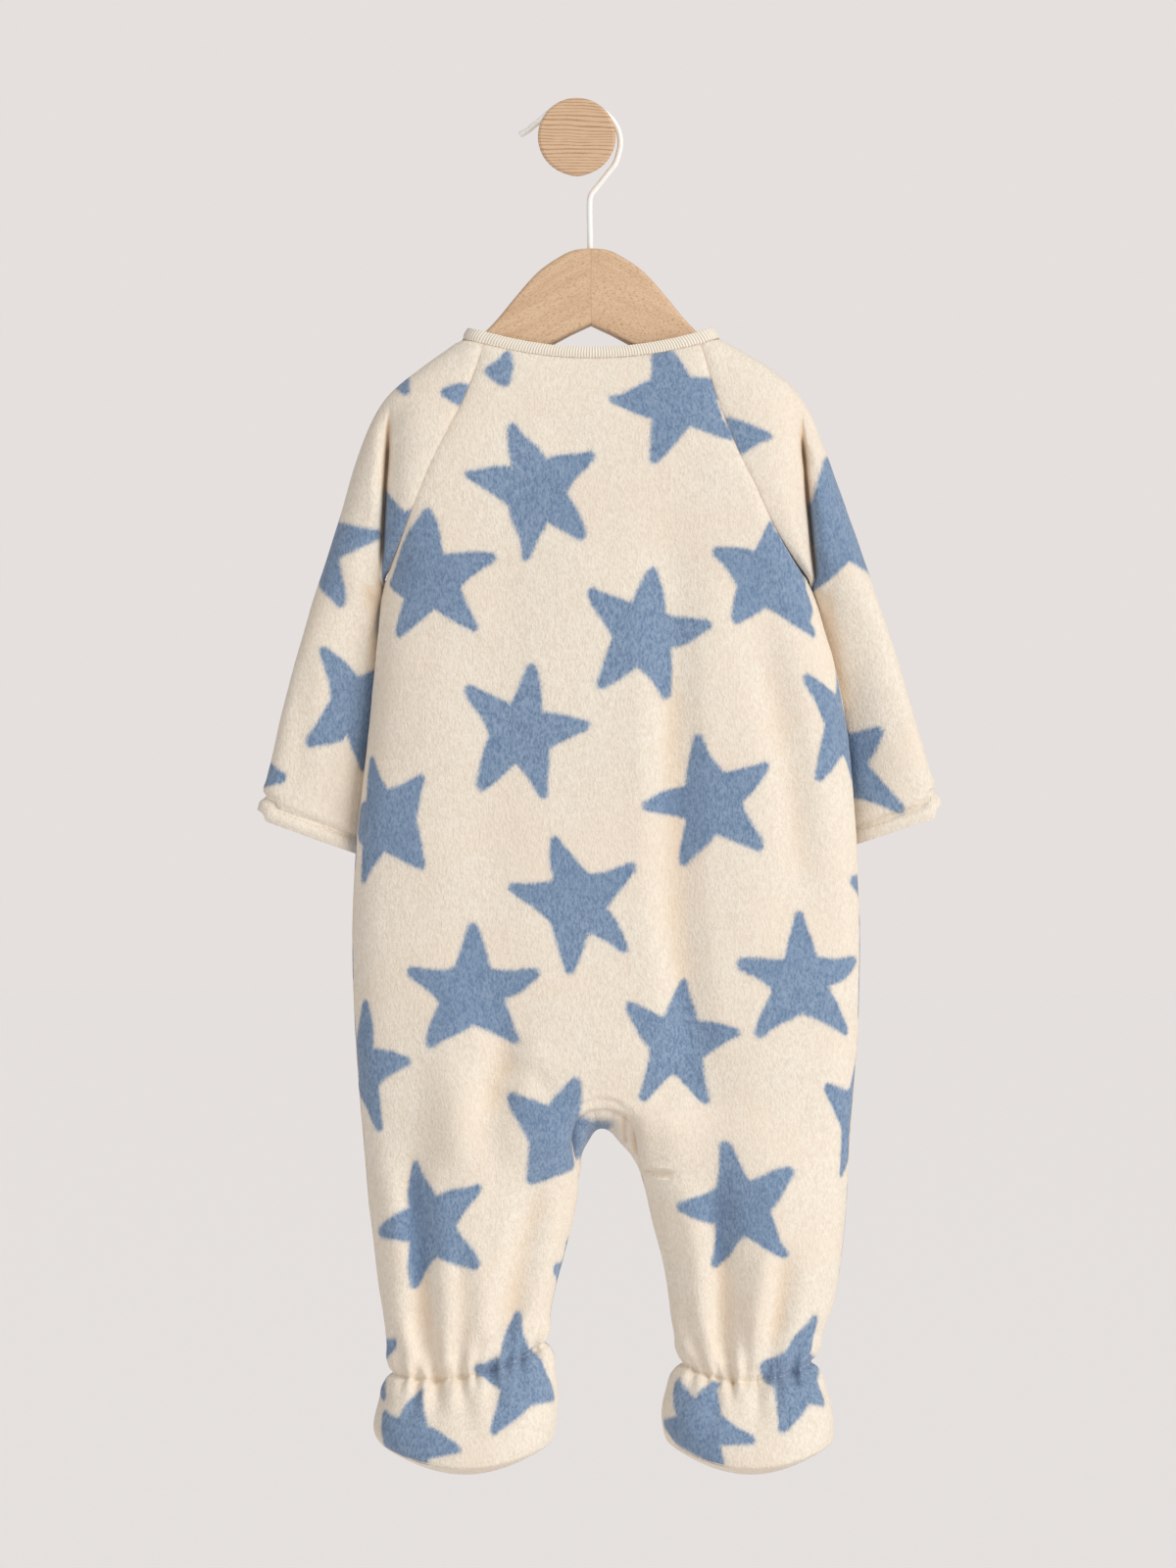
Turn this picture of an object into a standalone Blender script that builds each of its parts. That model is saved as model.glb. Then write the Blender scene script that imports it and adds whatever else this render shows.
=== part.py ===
"""A footed baby sleepsuit on a wooden hanger, hung by its wire hook from a round wall peg.

Metres, +Z up, +X to the right of someone who faces the wall, which is the plane Y = 0.
The origin is the middle of the peg's flat back face, where it meets the wall. The suit hangs
with its back to the room, so the back panel faces -Y and the two fronts face the wall.

The cloth is worked out as one outer surface: rings of points round the neck, the yoke, the
trunk, both sleeves, both legs and both booties. Each tailor's piece is a patch of that surface,
drawn in from its seams by half a seam gap and given the thickness of the cloth along the
surface's own normals, so that two pieces that meet at a seam have parallel edges.

The tables are in millimetres. x is measured from the suit's middle line, drop is how far a
point hangs below the peg's axis, and y runs from the room (most negative) to the wall.
"""
import math
from collections import namedtuple

import bmesh
import bpy
from mathutils import Matrix, Vector

MM = 0.001

# Driving dimensions, in millimetres
CLOTH = 2.0
HEM = 3.4
BINDING = 2.8
UNDERARM_WALL = 0.9
UNDERARM_GROWTH = 0.04
SEAM_GAP = 0.3
SUIT_X = 6.2
MID_Y = -37.0

BACK_COLUMNS = 20
FRONT_COLUMNS = 20
SLEEVE_COLUMNS = 14
LEG_COLUMNS = 10
ANKLE_COLUMNS = 20

SHARED_LEAN = 0.5
SHARE_STEP = 0.05
SHARE_ROUNDS = 80
CORNER_LIMIT = 0.35
LINE_SAMPLES = 240

YOKE_ROUND = 2.6
SHOULDER_ROUND = 2.2
TRUNK_ROUND = 2.6
SLEEVE_ROUND = 2.3
LEG_ROUND = 2.4
FOOT_ROUND = 2.2
FRONT_BULGE = 0.9
FOLD_END_REACH = 0.5
FRONT_SEAM_DROP = 7.0

BINDING_RISE = 6.0
BINDING_BELLY = 0.7
BINDING_TAPER_X = 0.95
BINDING_TAPER_Y = 0.92

PLACKET_INSET = 3.5
PLACKET_LIFT = 0.3
POPPER_RADIUS = 4.6
POPPER_THICK = 1.8
POPPER_EDGE = 0.6
POPPER_LIFT = 0.45
POPPER_SIDES = 16
POPPER_ROWS = (1, 4, 7, 10, 13, 16, 19)

SOLE_BOTTOM = 679.5
SOLE_SIDE_RISE = 17.0
SOLE_END_RISE = 6.5
SOLE_RINGS = (0.86, 0.6, 0.3)

PEG_RADIUS = 19.9
PEG_BACK_RADIUS = 13.0
PEG_LENGTH = 58.0
PEG_EDGE = 1.6
PEG_SIDES = 48
SHARP_EDGE = 0.6
SOFT_EDGE = 0.9

WIRE_RADIUS = 1.5
WIRE_Y = -38.0
WIRE_GAP = 0.3
WIRE_POINTS = 46
WIRE_ARC_STEPS = 14
WIRE_ARC_HALF_WIDTH = 22.2
WIRE_ARC_DROP = 0.5
WIRE_SAMPLES = 900
HOLE_RADIUS = 1.85
HOLE_DEPTH = 12.0
HOLE_FLOOR_GAP = 0.5
HOLE_SIDES = 24

HANGER_X = 7.2
HANGER_Y = -38.0
HANGER_THICK = 12.0
HANGER_EDGE = 3.0

# Yoke: one row for each ring from the neck seam down to the underarm.
# back and front are the middle of each panel; seam is the raglan seam; out is the shoulder line.
YokeRow = namedtuple("YokeRow", (
    "back front left_x left_drop right_x right_drop left_out_x left_out_drop "
    "right_out_x right_out_drop back_y seam_back_y ridge_y seam_front_y front_y bulge"))
YOKE = [YokeRow(*row) for row in (
    (111.5, 133, -53.5, 104, 57, 104, -65, 101, 67, 100.5, -50, -48, -38, -27, -21, 0),
    (124, 143, -58.5, 120, 61.5, 120, -77.5, 108.5, 81.5, 109, -54, -51, -38, -25, -18, 0),
    (137, 153, -65, 136, 66.5, 136, -90.5, 118.5, 96, 117.5, -57, -54, -38, -22, -16, 0),
    (150.5, 164, -72.5, 149.5, 72, 150.5, -102.5, 128, 108, 127.5, -58.5, -56, -38, -20, -15, 0),
    (163.5, 175, -79, 162, 77.5, 163, -110.5, 140, 115, 140.5, -59.5, -57, -36, -19, -14, 0),
    (176.5, 186, -84.5, 175, 84, 175, -116.5, 153.5, 120.5, 155, -60, -57, -34, -19, -14, 0),
    (189.5, 197, -89.5, 188, 90, 189, -121.5, 169, 126, 171, -60, -56, -33, -20, -14, 0),
    (203, 208, -95, 201.5, 97.5, 203, -126, 184.5, 132, 187.5, -60, -51.5, -32, -24, -14, 1),
    (216.5, 219, -100, 214.5, 106.5, 217, -131, 200.5, 138, 204, -60, -44, -31, -25, -14, 6),
    (229.5, 230, -106.5, 228, 116.5, 230, -136, 217, 144, 221, -60, -32, -30, -32, -14, 14),
)]

# Sleeves: one row for each ring from below the underarm to the cuff's edge.
SleeveRow = namedtuple("SleeveRow", (
    "left_out_x left_out_drop left_in_x left_in_drop right_out_x right_out_drop "
    "right_in_x right_in_drop in_y out_y half_depth"))
SLEEVES = [SleeveRow(*row) for row in (
    (-140.5, 230, -107.5, 240, 148.5, 234, 119.5, 242, -24, -29, 13.5),
    (-145.5, 245.5, -105.5, 255.5, 153.5, 248.5, 121.5, 257.5, -21, -28, 13),
    (-151, 263, -105.5, 273, 159, 265, 125, 275, -20.5, -27, 12.5),
    (-156, 281, -107.5, 291.5, 164.5, 283, 128, 293, -20.5, -26, 12),
    (-161, 299, -110, 310.5, 170, 300, 130.5, 311, -20.5, -25, 11.5),
    (-165, 315.5, -112, 329.5, 175, 316, 132, 329, -21, -24, 11),
    (-168, 327, -114, 346, 178, 327, 133, 342.5, -21.5, -24, 10.5),
    (-169.5, 337, -115, 357.5, 180, 334.5, 133, 352.5, -22, -24, 9.6),
    (-172, 340.5, -116, 361, 182, 338, 134, 355.5, -22, -24, 10.8),
    (-171, 345, -116, 365, 181, 344, 134, 360, -22, -24, 10.4),
)]
HEM_ROWS = 2

# Trunk: one row for each ring below the underarm; the last one carries the top of the crotch.
TrunkRow = namedtuple("TrunkRow", "drop left_x right_x back_y front_y")
TRUNK = [TrunkRow(*row) for row in (
    (243, -107.5, 118.5, -60.5, -13.5),
    (260.5, -109, 124.5, -61, -13),
    (280.5, -111, 129, -61, -13),
    (303, -113, 133, -61, -13),
    (328, -116, 135, -61, -13),
    (353, -119, 137, -61, -13),
    (378, -120.5, 138, -61, -13),
    (403, -121.5, 139, -61, -13),
    (428, -121, 138.5, -61, -13),
    (450.5, -120, 138, -60.5, -13),
    (468, -119, 137, -60.5, -13.5),
    (481, -118, 136, -60, -13.5),
    (494, -117, 135, -60, -14),
)]
CROTCH_X = 6.0
CROTCH_DROP = 490.5
CROTCH_BACK_Y = -57.5
CROTCH_FRONT_Y = -16.5

# Legs: one row for each ring from the crotch to the seam above the sole.
# in_back_y and in_front_y are where the leg's inner edge lies on the two crotch seams.
LegRow = namedtuple("LegRow", (
    "left_out_x left_out_drop left_in_x left_in_drop right_in_x right_in_drop "
    "right_out_x right_out_drop in_back_y back_y front_y in_front_y sag gather"))
LEGS = [LegRow(*row) for row in (
    (-116, 504, -6, 496.5, 20, 496, 134, 504, -56, -60, -14, -18, 0, 0),
    (-115, 515.5, -8, 507, 24, 504, 133.5, 515.5, -53.5, -60, -15, -20.5, 0, 0),
    (-114, 528, -6.5, 518, 25, 516.5, 132.5, 528, -47, -59.5, -15.5, -27, 0, 0),
    (-113, 542, -4, 534, 28, 534, 132, 542, -37, -59, -16, -37, 0, 0),
    (-111, 556, -8, 553, 32, 553, 131, 556, -37, -58.5, -17, -37, 0, 0),
    (-109.5, 570.5, -12.5, 569.5, 37, 569.5, 129, 570.5, -37, -58, -17.5, -37, 0, 0),
    (-107.5, 584, -16.5, 584, 39.5, 584, 127.5, 584, -37, -57.5, -18, -37, 1, 0),
    (-105.5, 597, -19, 596, 41, 597, 124.5, 597, -37, -57, -19, -37, 2, 0.15),
    (-104, 609, -20, 604, 43, 609, 119, 609, -37, -56.5, -20, -37, 4, 0.45),
    (-103, 619, -20, 609, 45, 617, 117, 617, -37, -56, -20.5, -37, 6, 0.85),
    (-102, 627.5, -20.5, 612, 46, 622.5, 115, 622, -37, -54.5, -21, -37, 8, 1.0),
    (-105.5, 635, -17.5, 620, 42, 629, 118.5, 628.5, -37, -61, -15, -37, 9, 0.85),
    (-109, 647, -15.5, 633, 38, 639, 122.5, 638, -37, -68, -8, -37, 10, 0.35),
    (-111, 656, -15, 646, 36, 651, 125.5, 651.5, -37.5, -72, -4.5, -37.5, 11, 0),
)]
JOINED_LEG_ROWS = 3
FIRST_FINE_ROW = 8
ANKLE_ROW = 10

# The two booties' sole seams.
Foot = namedtuple("Foot", "middle_x half_width middle_y half_length")
FEET = {"left": Foot(-63, 45, -38, 33.5), "right": Foot(82, 43, -38, 33.5)}

# The crotch gusset's lowest line, from the left leg to the right leg.
GussetPoint = namedtuple("GussetPoint", "x drop")
GUSSET = [GussetPoint(*row) for row in (
    (-3, 523), (-1.5, 515.5), (2.5, 508), (6.5, 504), (12.5, 509), (20, 517.5), (25, 524))]

# Soft folds: a trough (depth over 0) or a ridge (depth under 0) along a line on one side.
Fold = namedtuple("Fold", "side x_top drop_top x_end drop_end width depth")
FOLDS = [Fold(*row) for row in (
    ("back", 42, 223, 49, 330, 12, 4.0),
    ("back", 49, 330, 50, 438, 13, 5.0),
    ("back", 50, 438, 64, 538, 12, 5.0),
    ("back", 64, 538, 69, 605, 9, 4.0),
    ("back", 84, 238, 102, 318, 9, 3.5),
    ("back", 102, 318, 114, 405, 9, 3.5),
    ("back", -93, 503, -81, 615, 8, 4.5),
    ("back", -50, 503, -41, 448, 9, 3.0),
    ("back", -30, 545, -38, 600, 7, 3.5),
    ("back", -70, 455, -65, 528, 12, -2.5),
    ("back", 92, 545, 86, 600, 9, -2.5),
    ("back", -45, 250, -52, 400, 14, 2.0),
    ("front", -52, 240, -60, 470, 13, 3.5),
    ("front", 62, 230, 74, 480, 13, 4.0),
    ("front", -86, 500, -72, 600, 9, 3.5),
    ("front", 92, 505, 80, 600, 9, 3.5),
    ("front", -32, 530, -42, 600, 8, 3.0),
)]
ARMPITS = [Fold(*row) for row in (
    ("back", -102, 146, -105, 183, 5, 7.0),
    ("back", -105, 183, -109, 222, 5, 8.0),
    ("back", 109, 148, 111, 190, 5, 7.0),
    ("back", 111, 190, 118, 222, 5, 7.0),
    ("front", -102, 150, -108, 216, 6, 5.0),
    ("front", 109, 152, 116, 216, 6, 5.0),
)]

# Ankle gathers: the ring's columns that the elastic draws in, and how deep each one goes.
GATHERS = {
    ("left", "back"): ((2, 2.2), (5, 2.8), (7, 3.2), (9, 2.6), (12, 3.4), (14, 2.4), (17, 2.8)),
    ("left", "front"): ((3, 2.4), (6, 3.0), (8, 2.4), (11, 3.2), (14, 2.6), (17, 2.2)),
    ("right", "back"): ((2, 2.6), (4, 2.2), (7, 3.2), (10, 2.8), (12, 2.2), (15, 3.4), (18, 2.4)),
    ("right", "front"): ((3, 2.6), (5, 2.2), (8, 3.2), (11, 2.4), (13, 3.0), (17, 2.6)),
}

# Hanger: half of its outline, the upper edge from the crown to the tip and the lower edge back.
HangerPoint = namedtuple("HangerPoint", "x drop")
HANGER_TOP = [HangerPoint(*row) for row in (
    (0, 55), (8, 55.7), (15.5, 59), (27, 67), (38, 79.2), (47, 90.2), (54.5, 98), (64, 105.5),
    (76, 114.2), (89, 124.8), (98, 132.6), (102.5, 137.5))]
HANGER_UNDER = [HangerPoint(*row) for row in (
    (103, 142), (99, 145.5), (92, 141.5), (80, 133.5), (65, 125.5), (50, 118), (35, 111),
    (20, 104), (10, 98.6))]
HANGER_NOTCH_DROP = 94.0

# The wire below its round top: from the peg's right side down to the hanger.
WirePoint = namedtuple("WirePoint", "x drop")
WIRE_NECK = [WirePoint(*row) for row in (
    (20.9, 7.6), (17.2, 14.8), (12.4, 21.6), (8.6, 27.4), (7.4, 33.5), (7.2, 40), (7.2, 50),
    (7.2, 58))]
WIRE_TIP = [WirePoint(*row) for row in ((-29.3, -3.4), (-24.2, -6.3))]
WIRE_ARC_START = 150.0
WIRE_ARC_END = -4.0

FLEECE = ("cream_fleece", (0.82, 0.76, 0.68, 1.0), 0.95, 0.0)
RIB = ("cream_rib", (0.80, 0.75, 0.67, 1.0), 0.9, 0.0)
BEECH = ("beech", (0.68, 0.49, 0.33, 1.0), 0.45, 0.0)
PALE_OAK = ("pale_oak", (0.63, 0.44, 0.29, 1.0), 0.55, 0.0)
WHITE_METAL = ("white_coated_wire", (0.80, 0.79, 0.75, 1.0), 0.35, 0.0)
WHITE_PLASTIC = ("white_popper", (0.86, 0.85, 0.82, 1.0), 0.4, 0.0)


def clear_scene():
    for item in list(bpy.data.objects):
        bpy.data.objects.remove(item, do_unlink=True)


def material(finish):
    name, color, roughness, metallic = finish
    made = bpy.data.materials.get(name)
    if made is None:
        made = bpy.data.materials.new(name)
        made.use_nodes = True
        shader = made.node_tree.nodes["Principled BSDF"]
        shader.inputs["Base Color"].default_value = color
        shader.inputs["Roughness"].default_value = roughness
        shader.inputs["Metallic"].default_value = metallic
    return made


def place(x, y, drop):
    """A point of the suit, in metres."""
    return Vector(((x + SUIT_X) * MM, y * MM, -drop * MM))


def finished(name, mesh_data, finish, sharp=SOFT_EDGE):
    mesh = bpy.data.meshes.new(name)
    mesh_data.to_mesh(mesh)
    mesh_data.free()
    mesh.shade_smooth()
    mesh.set_sharp_from_angle(angle=sharp)
    mesh.materials.append(material(finish))
    made = bpy.data.objects.new(name, mesh)
    bpy.context.scene.collection.objects.link(made)
    return made


# ---- lines across the cloth ----

def half_round(s, roundness):
    """1 in the middle and 0 at both ends, s from -1 to 1."""
    return max(0.0, 1.0 - abs(s) ** roundness) ** (1.0 / roundness)


def quarter_round(u, roundness):
    """1 at the start, where the line runs level, and 0 at the end, where it turns down."""
    return max(0.0, 1.0 - u ** roundness) ** (1.0 / roundness)


def mix(a, b, t):
    return a + (b - a) * t


def even_line(curve, count, samples=LINE_SAMPLES):
    """count + 1 points at even lengths along curve(t), t from 0 to 1."""
    dense = [curve(i / samples) for i in range(samples + 1)]
    lengths = [0.0]
    for a, b in zip(dense, dense[1:]):
        lengths.append(lengths[-1] + math.dist(a, b))
    line = []
    seek = 0
    for step in range(count + 1):
        target = lengths[-1] * step / count
        while seek < samples - 1 and lengths[seek + 1] < target:
            seek += 1
        span = lengths[seek + 1] - lengths[seek]
        t = (target - lengths[seek]) / span
        line.append(tuple(mix(p, q, t) for p, q in zip(dense[seek], dense[seek + 1])))
    return line


def across(start, end, middle_y, middle_drop, roundness, count):
    """A line over one side of a tube from start to end, both (x, y, drop)."""
    def curve(t):
        s = -math.cos(math.pi * t)
        u = (s + 1) / 2
        lift = half_round(s, roundness)
        sag = 1 - s * s
        x = mix(start[0], end[0], u)
        y = mix(start[1], end[1], u)
        drop = mix(start[2], end[2], u)
        y += (middle_y - mix(start[1], end[1], 0.5)) * lift
        drop += (middle_drop - mix(start[2], end[2], 0.5)) * sag
        return x, y, drop
    return even_line(curve, count)


def over_shoulder(seam, ridge, bulge, count):
    """A line from a raglan seam out to the shoulder ridge, both (x, y, drop)."""
    def curve(t):
        u = 0.5 - 0.5 * math.cos(math.pi * t)
        x = mix(seam[0], ridge[0], u)
        drop = mix(seam[2], ridge[2], u)
        y = ridge[1] + (seam[1] - ridge[1]) * quarter_round(u, SHOULDER_ROUND)
        y += bulge * half_round(2 * u - 1, SLEEVE_ROUND)
        return x, y, drop
    return even_line(curve, count)


def fold_depth(side, x, drop, folds):
    depth = 0.0
    for fold in folds:
        if fold.side != side:
            continue
        run_x = fold.x_end - fold.x_top
        run_drop = fold.drop_end - fold.drop_top
        along = ((x - fold.x_top) * run_x + (drop - fold.drop_top) * run_drop)
        along /= run_x * run_x + run_drop * run_drop
        along = min(1.0, max(0.0, along))
        near_x = x - fold.x_top - run_x * along
        near_drop = drop - fold.drop_top - run_drop * along
        reach = math.hypot(near_x, near_drop * FOLD_END_REACH) / fold.width
        push = fold.depth * math.exp(-reach * reach)
        depth = push if abs(push) > abs(depth) else depth
    return depth


def folded(line, side, folds):
    """The line's points pressed in (or out) by the folds that they lie near."""
    inward = 1 if side == "back" else -1
    ends = (0, len(line) - 1)
    made = []
    for i, (x, y, drop) in enumerate(line):
        push = 0.0 if i in ends else fold_depth(side, x, drop, folds)
        made.append((x, y + inward * push, drop))
    return made


def gathered(line, leg, side, strength):
    """The line's points with the drawn-in columns of the ankle elastic."""
    inward = 1 if side == "back" else -1
    depths = dict(GATHERS[(leg, side)])
    return [(x, y + inward * strength * depths.get(i, 0.0), drop)
            for i, (x, y, drop) in enumerate(line)]


# ---- the whole outer surface ----

def outward(around):
    """The mean of the normals round a point, leaned until all of them share it."""
    direction = sum(around, Vector()).normalized()
    for _ in range(SHARE_ROUNDS):
        lowest = min(around, key=direction.dot)
        if direction.dot(lowest) > SHARED_LEAN:
            break
        direction = (direction + lowest * SHARE_STEP).normalized()
    return direction


class Surface:
    """The suit's outer surface: vertices, faces and the piece that each face belongs to."""

    def __init__(self):
        self.mesh = bmesh.new()
        self.wall = self.mesh.verts.layers.float.new("wall")
        self.piece = self.mesh.faces.layers.int.new("piece")
        self.strip = self.mesh.faces.layers.int.new("strip")
        self.names = []
        self.tight = []
        self.normals = []

    def points(self, line, wall=CLOTH):
        made = []
        for x, y, drop in line:
            vertex = self.mesh.verts.new(place(x, y, drop))
            vertex[self.wall] = wall
            made.append(vertex)
        return made

    def face(self, corners, name, strip=0):
        if name not in self.names:
            self.names.append(name)
        made = self.mesh.faces.new(corners)
        made[self.piece] = self.names.index(name)
        made[self.strip] = strip
        return made

    def band(self, upper, lower, names, strips=()):
        """Faces between two rows; names holds the piece of each column."""
        for i, name in enumerate(names):
            j = (i + 1) % len(upper)
            k = (i + 1) % len(lower)
            corners = [upper[i], lower[i], lower[k], upper[j]]
            self.face(corners, name, 1 if i in strips else 0)

    def fine_band(self, upper, lower, names):
        """Faces from a row to one with twice its columns."""
        for i, name in enumerate(names):
            j = (i + 1) % len(upper)
            k = (2 * i + 2) % len(lower)
            self.face([upper[i], lower[2 * i], lower[2 * i + 1]], name)
            self.face([upper[i], lower[2 * i + 1], upper[j]], name)
            self.face([upper[j], lower[2 * i + 1], lower[k]], name)

    def finish(self):
        bmesh.ops.triangulate(self.mesh, faces=self.mesh.faces[:])
        self.mesh.normal_update()
        self.mesh.verts.index_update()
        self.mesh.verts.ensure_lookup_table()
        for vertex in self.mesh.verts:
            around = [face.normal for face in vertex.link_faces]
            self.normals.append(outward([vertex.normal] * len(around) + around))
            near = min((vertex.co - point.co).length / MM for point in self.tight)
            vertex[self.wall] = min(vertex[self.wall], UNDERARM_WALL + near * UNDERARM_GROWTH)

    def normal(self, vertex, faces):
        """The cloth's normal at a vertex; under the arm, sleeve and trunk each keep their own."""
        if vertex not in self.tight:
            return self.normals[vertex.index]
        own = self.names[faces[0][self.piece]].startswith("sleeve")
        return outward([face.normal for face in vertex.link_faces
                        if self.names[face[self.piece]].startswith("sleeve") == own])


def yoke_ring(row, share):
    """Back, right sleeve, front and left sleeve lines of one yoke row."""
    lower = FRONT_SEAM_DROP * (1 - share)
    left_back = (row.left_x, row.seam_back_y, row.left_drop)
    right_back = (row.right_x, row.seam_back_y, row.right_drop)
    left_front = (row.left_x, row.seam_front_y, row.left_drop + lower)
    right_front = (row.right_x, row.seam_front_y, row.right_drop + lower)
    left_ridge = (row.left_out_x, row.ridge_y, row.left_out_drop)
    right_ridge = (row.right_out_x, row.ridge_y, row.right_out_drop)
    half = SLEEVE_COLUMNS // 2
    back = across(left_back, right_back, row.back_y, row.back, YOKE_ROUND, BACK_COLUMNS)
    front = across(right_front, left_front, row.front_y, row.front, YOKE_ROUND, FRONT_COLUMNS)
    right_b = over_shoulder(right_back, right_ridge, -row.bulge, half)
    right_f = over_shoulder(right_front, right_ridge, row.bulge * FRONT_BULGE, half)
    left_b = over_shoulder(left_back, left_ridge, -row.bulge, half)
    left_f = over_shoulder(left_front, left_ridge, row.bulge * FRONT_BULGE, half)
    back = folded(back, "back", FOLDS)
    front = folded(front, "front", FOLDS)
    right = folded(right_b, "back", ARMPITS)[:-1] + folded(right_f, "front", ARMPITS)[::-1]
    left = folded(left_f, "front", ARMPITS)[:-1] + folded(left_b, "back", ARMPITS)[::-1]
    return back, right, front, left


def add_yoke(surface):
    """The neckband, the yoke and the two points under the arms; returns the underarm row."""
    columns = (["back"] * BACK_COLUMNS + ["sleeve_right"] * SLEEVE_COLUMNS
               + ["front_right"] * (FRONT_COLUMNS // 2) + ["front_left"] * (FRONT_COLUMNS // 2)
               + ["sleeve_left"] * SLEEVE_COLUMNS)
    middle = BACK_COLUMNS + SLEEVE_COLUMNS + FRONT_COLUMNS // 2
    strips = (middle - 1, middle)
    rings = []
    for number, row in enumerate(YOKE[:-1]):
        back, right, front, left = yoke_ring(row, number / (len(YOKE) - 1))
        rings.append(back[:-1] + right[:-1] + front[:-1] + left[:-1])
    first = rings[0]
    bindings = []
    for rise, taper, belly in ((1.0, 1.0, 0.0), (0.5, 0.5, BINDING_BELLY)):
        ring = []
        for x, y, drop in first:
            away = Vector((x, y - MID_Y)).normalized() * belly
            ring.append((x * mix(1, BINDING_TAPER_X, taper) + away.x,
                         MID_Y + (y - MID_Y) * mix(1, BINDING_TAPER_Y, taper) + away.y,
                         drop - BINDING_RISE * rise))
        bindings.append(surface.points(ring, BINDING))
    placed = [surface.points(ring) for ring in rings]
    surface.band(bindings[0], bindings[1], ["neckband"] * len(columns))
    surface.band(bindings[1], placed[0], ["neckband"] * len(columns))
    for upper, lower in zip(placed, placed[1:]):
        surface.band(upper, lower, columns, strips)
    back, right, front, left = yoke_ring(YOKE[-1], 1.0)
    back = surface.points(back)
    front_inner = surface.points(front[1:-1])
    right_inner = surface.points(right[1:-1])
    left_inner = surface.points(left[1:-1])
    under_left = back[0]
    under_right = back[-1]
    surface.tight = [under_left, under_right]
    upper = placed[-1] + [placed[-1][0]]
    lower = back + right_inner + [under_right] + front_inner + [under_left] + left_inner
    lower.append(under_left)
    for i, name in enumerate(columns):
        surface.face([upper[i], lower[i], lower[i + 1], upper[i + 1]], name,
                     1 if i in strips else 0)
    front = [under_right] + front_inner + [under_left]
    right = [under_right] + right_inner
    left = [under_left] + left_inner
    centre = [ring[middle] for ring in placed] + [front[FRONT_COLUMNS // 2]]
    return back, front, right, left, centre


def add_sleeve(surface, side, top):
    name = "sleeve_" + side
    previous = top
    half = SLEEVE_COLUMNS // 2
    for number, row in enumerate(SLEEVES):
        out = (getattr(row, side + "_out_x"), row.out_y, getattr(row, side + "_out_drop"))
        inner = (getattr(row, side + "_in_x"), row.in_y, getattr(row, side + "_in_drop"))
        middle_drop = mix(out[2], inner[2], 0.5)
        middle_y = mix(out[1], inner[1], 0.5)
        room = across(inner, out, middle_y - row.half_depth, middle_drop, SLEEVE_ROUND, half)
        wall = across(inner, out, middle_y + row.half_depth, middle_drop, SLEEVE_ROUND, half)
        if side == "right":
            ring = room[:-1] + wall[::-1][:-1]
        else:
            ring = wall[:-1] + room[::-1][:-1]
        thick = HEM if number >= len(SLEEVES) - HEM_ROWS else CLOTH
        placed = surface.points(ring, thick)
        surface.band(previous, placed, [name] * SLEEVE_COLUMNS)
        previous = placed


def add_trunk(surface, back, front, centre):
    """The trunk down to the top of the crotch; returns the last back and front lines."""
    names = (["back"] * BACK_COLUMNS + ["front_right"] * (FRONT_COLUMNS // 2)
             + ["front_left"] * (FRONT_COLUMNS // 2))
    middle = BACK_COLUMNS + FRONT_COLUMNS // 2
    previous = back + front[1:-1]
    for row in TRUNK:
        last = row is TRUNK[-1]
        left = (row.left_x, MID_Y, row.drop)
        right = (row.right_x, MID_Y, row.drop)
        middle_drop = CROTCH_DROP if last else row.drop
        back_line = across(left, right, row.back_y, middle_drop, TRUNK_ROUND, BACK_COLUMNS)
        front_line = across(right, left, row.front_y, middle_drop, TRUNK_ROUND, FRONT_COLUMNS)
        back_line = folded(back_line, "back", FOLDS)
        front_line = folded(front_line, "front", FOLDS)
        if last:
            back_line[BACK_COLUMNS // 2] = (CROTCH_X, CROTCH_BACK_Y, CROTCH_DROP)
            front_line[FRONT_COLUMNS // 2] = (CROTCH_X, CROTCH_FRONT_Y, CROTCH_DROP)
        placed = surface.points(back_line[:-1] + front_line[:-1])
        surface.band(previous, placed, names, () if last else (middle - 1, middle))
        centre.append(placed[middle])
        previous = placed
    ring = previous + [previous[0]]
    return ring[:BACK_COLUMNS + 1], ring[BACK_COLUMNS:]


def leg_lines(row, side, columns):
    """The back line (left to right) and the front line (right to left) of one leg row."""
    out = (getattr(row, side + "_out_x"), MID_Y, getattr(row, side + "_out_drop"))
    in_x = getattr(row, side + "_in_x")
    in_drop = getattr(row, side + "_in_drop")
    inner_back = (in_x, row.in_back_y, in_drop)
    inner_front = (in_x, row.in_front_y, in_drop)
    middle_drop = mix(out[2], in_drop, 0.5) + row.sag
    left_back, right_back = (out, inner_back) if side == "left" else (inner_back, out)
    right_front, left_front = (inner_front, out) if side == "left" else (out, inner_front)
    back = across(left_back, right_back, row.back_y, middle_drop, LEG_ROUND, columns)
    front = across(right_front, left_front, row.front_y, middle_drop, LEG_ROUND, columns)
    back = folded(back, "back", FOLDS)
    front = folded(front, "front", FOLDS)
    if columns == ANKLE_COLUMNS:
        back = gathered(back, side, "back", row.gather)
        front = gathered(front, side, "front", row.gather)
    return back, front


def sole_drop(u, v):
    """The sole's curved surface; u and v run from -1 to 1 across the foot and along it."""
    return SOLE_BOTTOM - SOLE_SIDE_RISE * u * u - SOLE_END_RISE * v * v


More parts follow.
